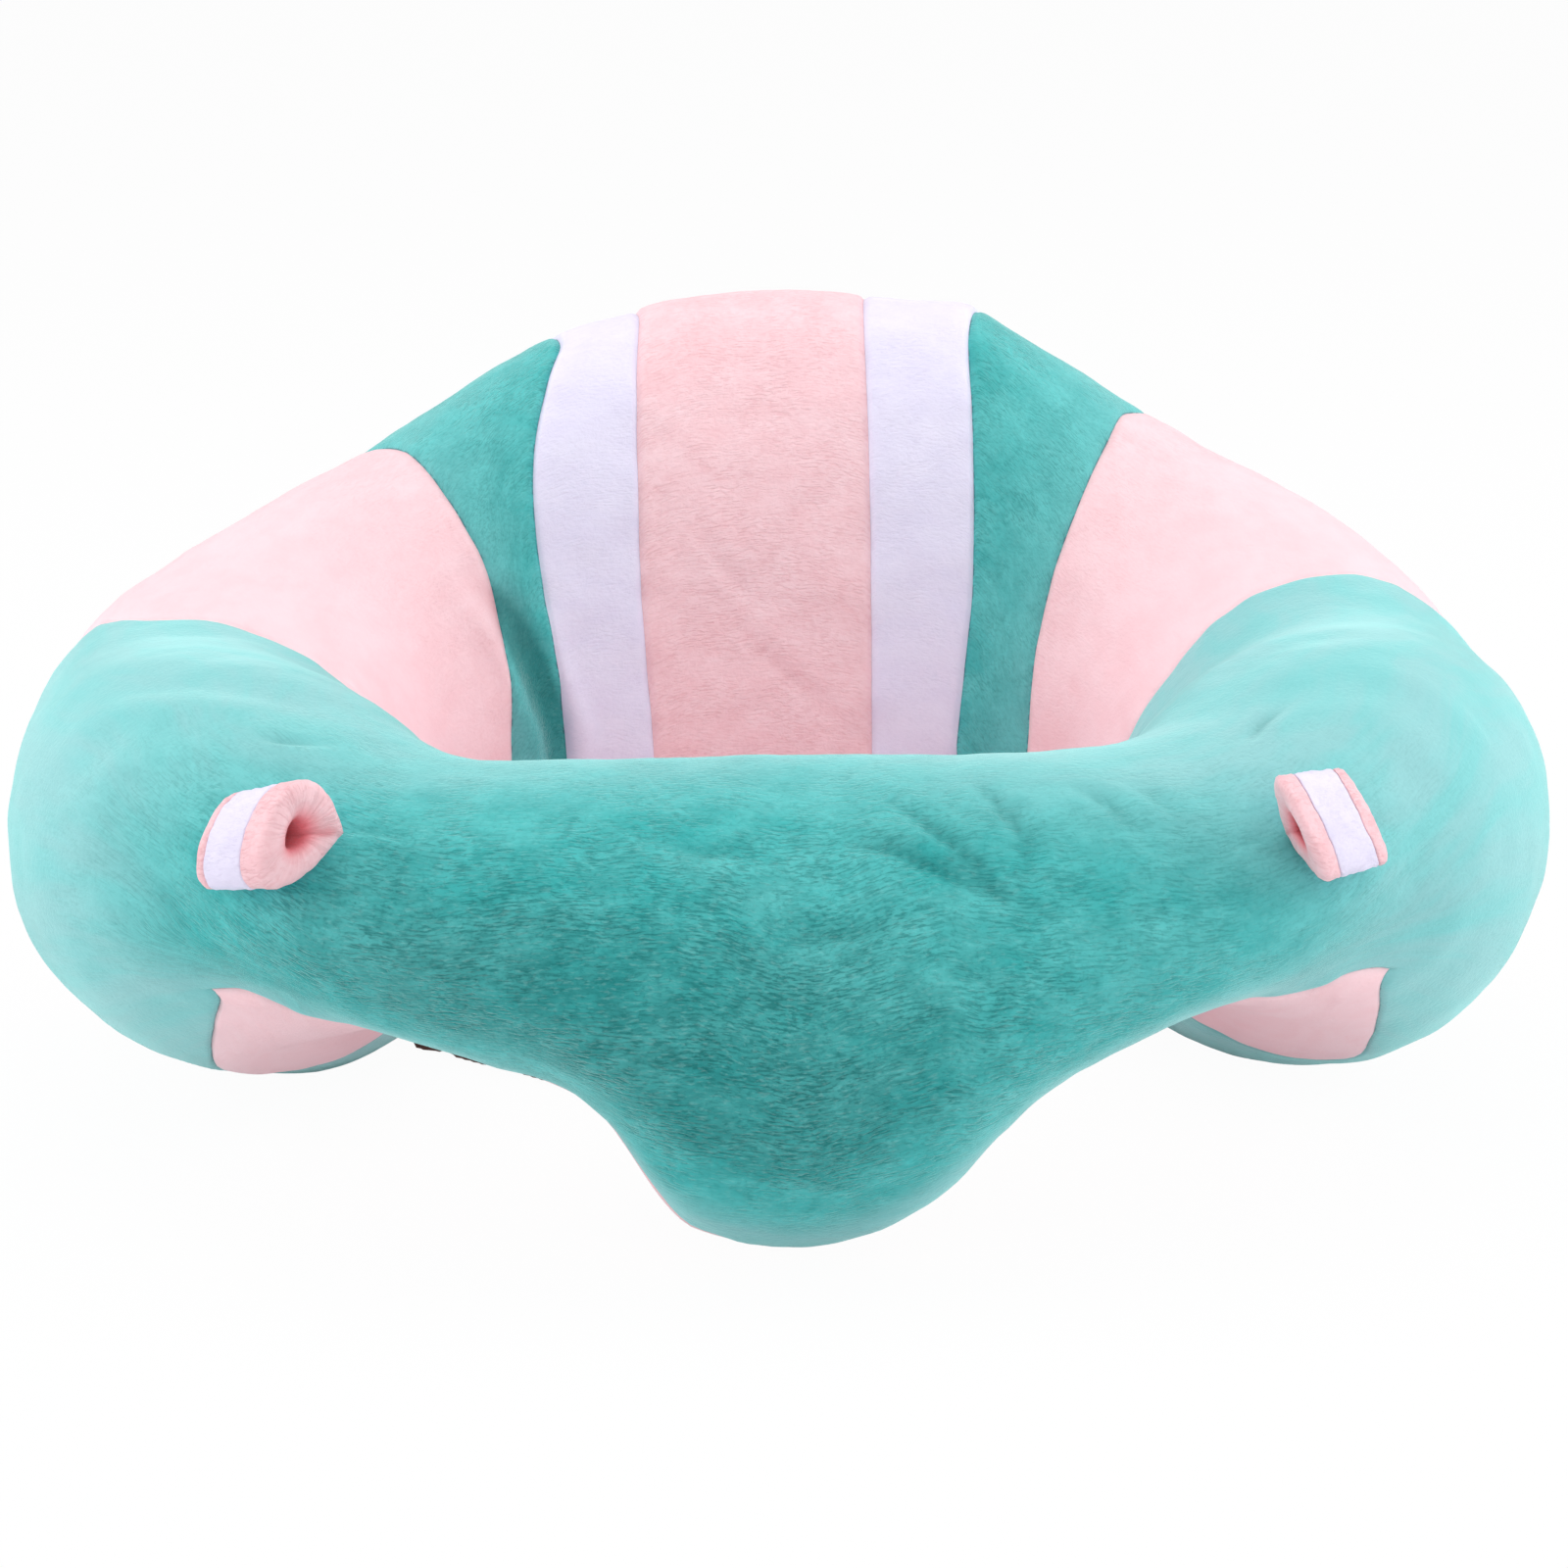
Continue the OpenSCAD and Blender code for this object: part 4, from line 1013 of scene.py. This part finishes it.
def loop_band(side, section):
    """A strip of the loop, a section carried round a drop-shaped path: its points, faces, grain, and how
    far inside the fold each point lies, given as painted shade that turns the pink deeper, also along the
    folded line to the root."""
    root, along, up, out = loop_axes(side)
    shape = LOOP_SHAPES[side]
    a = np.radians(np.linspace(0, 360, LOOP_STEPS + 1))
    height = shape["high"] / 2 / LOOP_WIDEST * np.sin(a) * np.sin(a / 2) ** LOOP_FULLNESS
    reach = shape["reach"] * (1 - np.cos(a)) / 2
    path = np.stack([height, reach], -1)
    across, depth = section.T
    inward = (np.array([0, HOLE_AT * shape["reach"]]) - path)[:, None] * (1 - HOLE)
    flat = path[:, None] + inward * (depth / LOOP_T)[:, None]
    share = across[None] / LOOP_W
    h = flat[..., 0] * (1 + shape["taper"] * share) + shape["lift"] - shape["droop"] * flat[..., 1]
    w = across[None] + shape["lean"] * flat[..., 0] + shape["swing"] * flat[..., 1] + shape["shift"]
    r = flat[..., 1] * (1 + shape["long"] * share) - LOOP_SEAT
    points = root + w[..., None] * along + h[..., None] * up + r[..., None] * out
    lumps_out, lumps_up = (gain * noise(points / wave + start)[..., None] for gain, wave, start in LOOP_LUMPS)
    points += lumps_out * out + lumps_up * up
    n, m = points.shape[:2]
    faces = [
        (i * m + j, i * m + (j + 1) % m, (i + 1) * m + (j + 1) % m, (i + 1) * m + j)
        for i in range(n - 1) for j in range(m)
    ]
    ends = [tuple(range(m))[::-1], tuple(range((n - 1) * m, n * m))]
    grain = np.stack(np.broadcast_arrays(across[None], np.degrees(a)[:, None] / 4, 0.0), -1) * MM
    # How far inside the fold a point lies, and the folded line from the hole to the root, both painted as
    # shade that turns the pink deeper
    deep = np.broadcast_to(np.clip(depth / LOOP_T * 2.2 - 1.2, 0, 1) ** 1.5 * 0.9, h.shape)
    line = np.exp(-(flat[..., 0] / CREASE_W) ** 2) * (flat[..., 1] < HOLE_AT * shape["reach"])
    hollow = np.maximum(deep, line * np.clip(depth / LOOP_T * 3 - 0.6, 0, 1) * 0.5)
    return points.reshape(-1, 3), faces + ends, grain.reshape(-1, 3), hollow.ravel()


def loop_piece(name, side, sections, material):
    """One object from the strips of the loop that have the given sections."""
    strips = [loop_band(side, section) for section in sections]
    starts = np.cumsum([0] + [len(points) for points, *_ in strips])
    faces = [tuple(start + k for k in face) for start, strip in zip(starts, strips) for face in strip[1]]
    points, grain, hollow = (np.concatenate([strip[k] for strip in strips]) for k in (0, 2, 3))
    return new_object(name, points, faces, material, grain=grain, hollow=hollow,
                      seam=np.ones(len(points)), nap=np.full(len(points), LOOP_NAP))


for side, (start, end) in STRIPE.items():
    body = "toy_loop_" + side
    edges = [
        band_section(-LOOP_W / 2, start, RIM_ROUND, SEAM_ROUND),
        band_section(end, LOOP_W / 2, SEAM_ROUND, RIM_ROUND),
    ]
    declare(loop_piece(f"toy_loop_{side}_plush", side, edges, PINK), "toy_loop_" + side,
            body=body)
    stripe = [band_section(start, end, SEAM_ROUND, SEAM_ROUND)]
    declare(loop_piece(f"loop_stripe_{side}_plush", side, stripe, LILAC), "loop_stripe_" + side,
            body=body)

# ---------------------------------------------------------------- camera, floor and light

# The photograph's camera: angles from the front, above the floor and about its own axis, distance and
# target in mm, and its lens in mm
CAMERA_AZIMUTH = -2.64
CAMERA_ELEVATION = 15.31
CAMERA_ROLL = -0.55
CAMERA_DISTANCE = 1294.25
CAMERA_TARGET = (3.13, 23.65, 79.42)
CAMERA_LENS = 97.3


def add_camera():
    a, e, r = (math.radians(x) for x in (CAMERA_AZIMUTH, CAMERA_ELEVATION, CAMERA_ROLL))
    back = Vector((math.sin(a) * math.cos(e), -math.cos(a) * math.cos(e), math.sin(e)))
    level = Vector((math.cos(a), math.sin(a), 0))
    upright = back.cross(level)
    right = level * math.cos(r) + upright * math.sin(r)
    up = back.cross(right)
    place = (Vector(CAMERA_TARGET) + back * CAMERA_DISTANCE) * MM
    camera = bpy.data.objects.new("camera", bpy.data.cameras.new("camera"))
    camera.matrix_world = Matrix((
        (right.x, up.x, back.x, place.x), (right.y, up.y, back.y, place.y),
        (right.z, up.z, back.z, place.z), (0, 0, 0, 1),
    ))
    camera.data.lens = CAMERA_LENS
    camera.data.sensor_width = 36
    camera.data.clip_start, camera.data.clip_end = 0.01, 60
    bpy.context.scene.collection.objects.link(camera)
    bpy.context.scene.camera = camera


# Soft white lamps: name, place and aim in metres, size in metres, watts
LAMPS = [
    ("overhead", (0, 0.1, 1.5), (0, 0.05, 0), (1.8, 1.4), 12.6),
    ("front_fill", (0.2, -1.8, 0.9), (0, 0, 0.1), (1.4, 1.0), 9),
    ("left_box", (-1.4, 0.1, 0.55), (0, 0, 0.1), (1.4, 1.1), 11.6),
    ("right_box", (1.4, 0.1, 0.55), (0, 0, 0.1), (1.4, 1.1), 12),
]


def add_lamp(name, place, target, size, watts):
    light = bpy.data.lights.new(name, "AREA")
    light.shape = "RECTANGLE"
    light.size, light.size_y = size
    light.energy = watts
    lamp = bpy.data.objects.new(name, light)
    lamp.location = place
    lamp.rotation_mode = "QUATERNION"
    lamp.rotation_quaternion = (Vector(target) - Vector(place)).to_track_quat("-Z", "Y")
    bpy.context.scene.collection.objects.link(lamp)


# The floor's half width and its gap under the seat in metres, and how much of it shows as plain white
FLOOR_REACH = 12
FLOOR_GAP = 0.0005
FLOOR_WHITE = 0.965


def add_floor():
    """A pale floor that shows white to the camera, keeps a soft shadow and is clear from below."""
    n = Nodes("pale_floor")
    diffuse = n.add("BsdfDiffuse")
    diffuse.inputs["Color"].default_value = (0.86, 0.86, 0.87, 1)
    glow = n.add("Emission")
    glow.inputs["Color"].default_value = (1, 1, 1, 1)
    glow.inputs["Strength"].default_value = 1.0
    path = n.add("LightPath")
    seen = n.math("MAXIMUM", path.outputs["Is Camera Ray"], path.outputs["Is Glossy Ray"])
    share = n.times(seen, FLOOR_WHITE)
    mixed = n.add("MixShader")
    n.link(share, mixed.inputs["Fac"])
    n.link(diffuse.outputs["BSDF"], mixed.inputs[1])
    n.link(glow.outputs["Emission"], mixed.inputs[2])
    below = n.add("MixShader")
    n.link(n.add("NewGeometry").outputs["Backfacing"], below.inputs["Fac"])
    n.link(mixed.outputs["Shader"], below.inputs[1])
    n.link(n.add("BsdfTransparent").outputs["BSDF"], below.inputs[2])
    n.link(below.outputs["Shader"], n.out.inputs["Surface"])
    mesh = bpy.data.meshes.new("floor")
    corners = [(FLOOR_REACH * x, FLOOR_REACH * y, 0) for x, y in ((-1, -1), (1, -1), (1, 1), (-1, 1))]
    mesh.from_pydata(corners, [], [(0, 1, 2, 3)])
    mesh.materials.append(n.material)
    floor = bpy.data.objects.new("floor", mesh)
    floor.location.z = -FLOOR_GAP
    bpy.context.scene.collection.objects.link(floor)


# Strength of the world's light on the object
WORLD_LIGHT = 0.42


def add_world():
    world = bpy.data.worlds.new("studio")
    bpy.context.scene.world = world
    world.use_nodes = True
    tree = world.node_tree
    background = tree.nodes["Background"]
    background.inputs["Color"].default_value = (1, 1, 1, 1)
    path = tree.nodes.new("ShaderNodeLightPath")
    strength = tree.nodes.new("ShaderNodeMapRange")
    strength.inputs["To Min"].default_value = WORLD_LIGHT
    strength.inputs["To Max"].default_value = 1.0
    tree.links.new(path.outputs["Is Camera Ray"], strength.inputs["Value"])
    tree.links.new(strength.outputs["Result"], background.inputs["Strength"])


add_camera()
add_floor()
add_world()
for lamp in LAMPS:
    add_lamp(*lamp)

bpy.context.scene.view_settings.view_transform = "Standard"
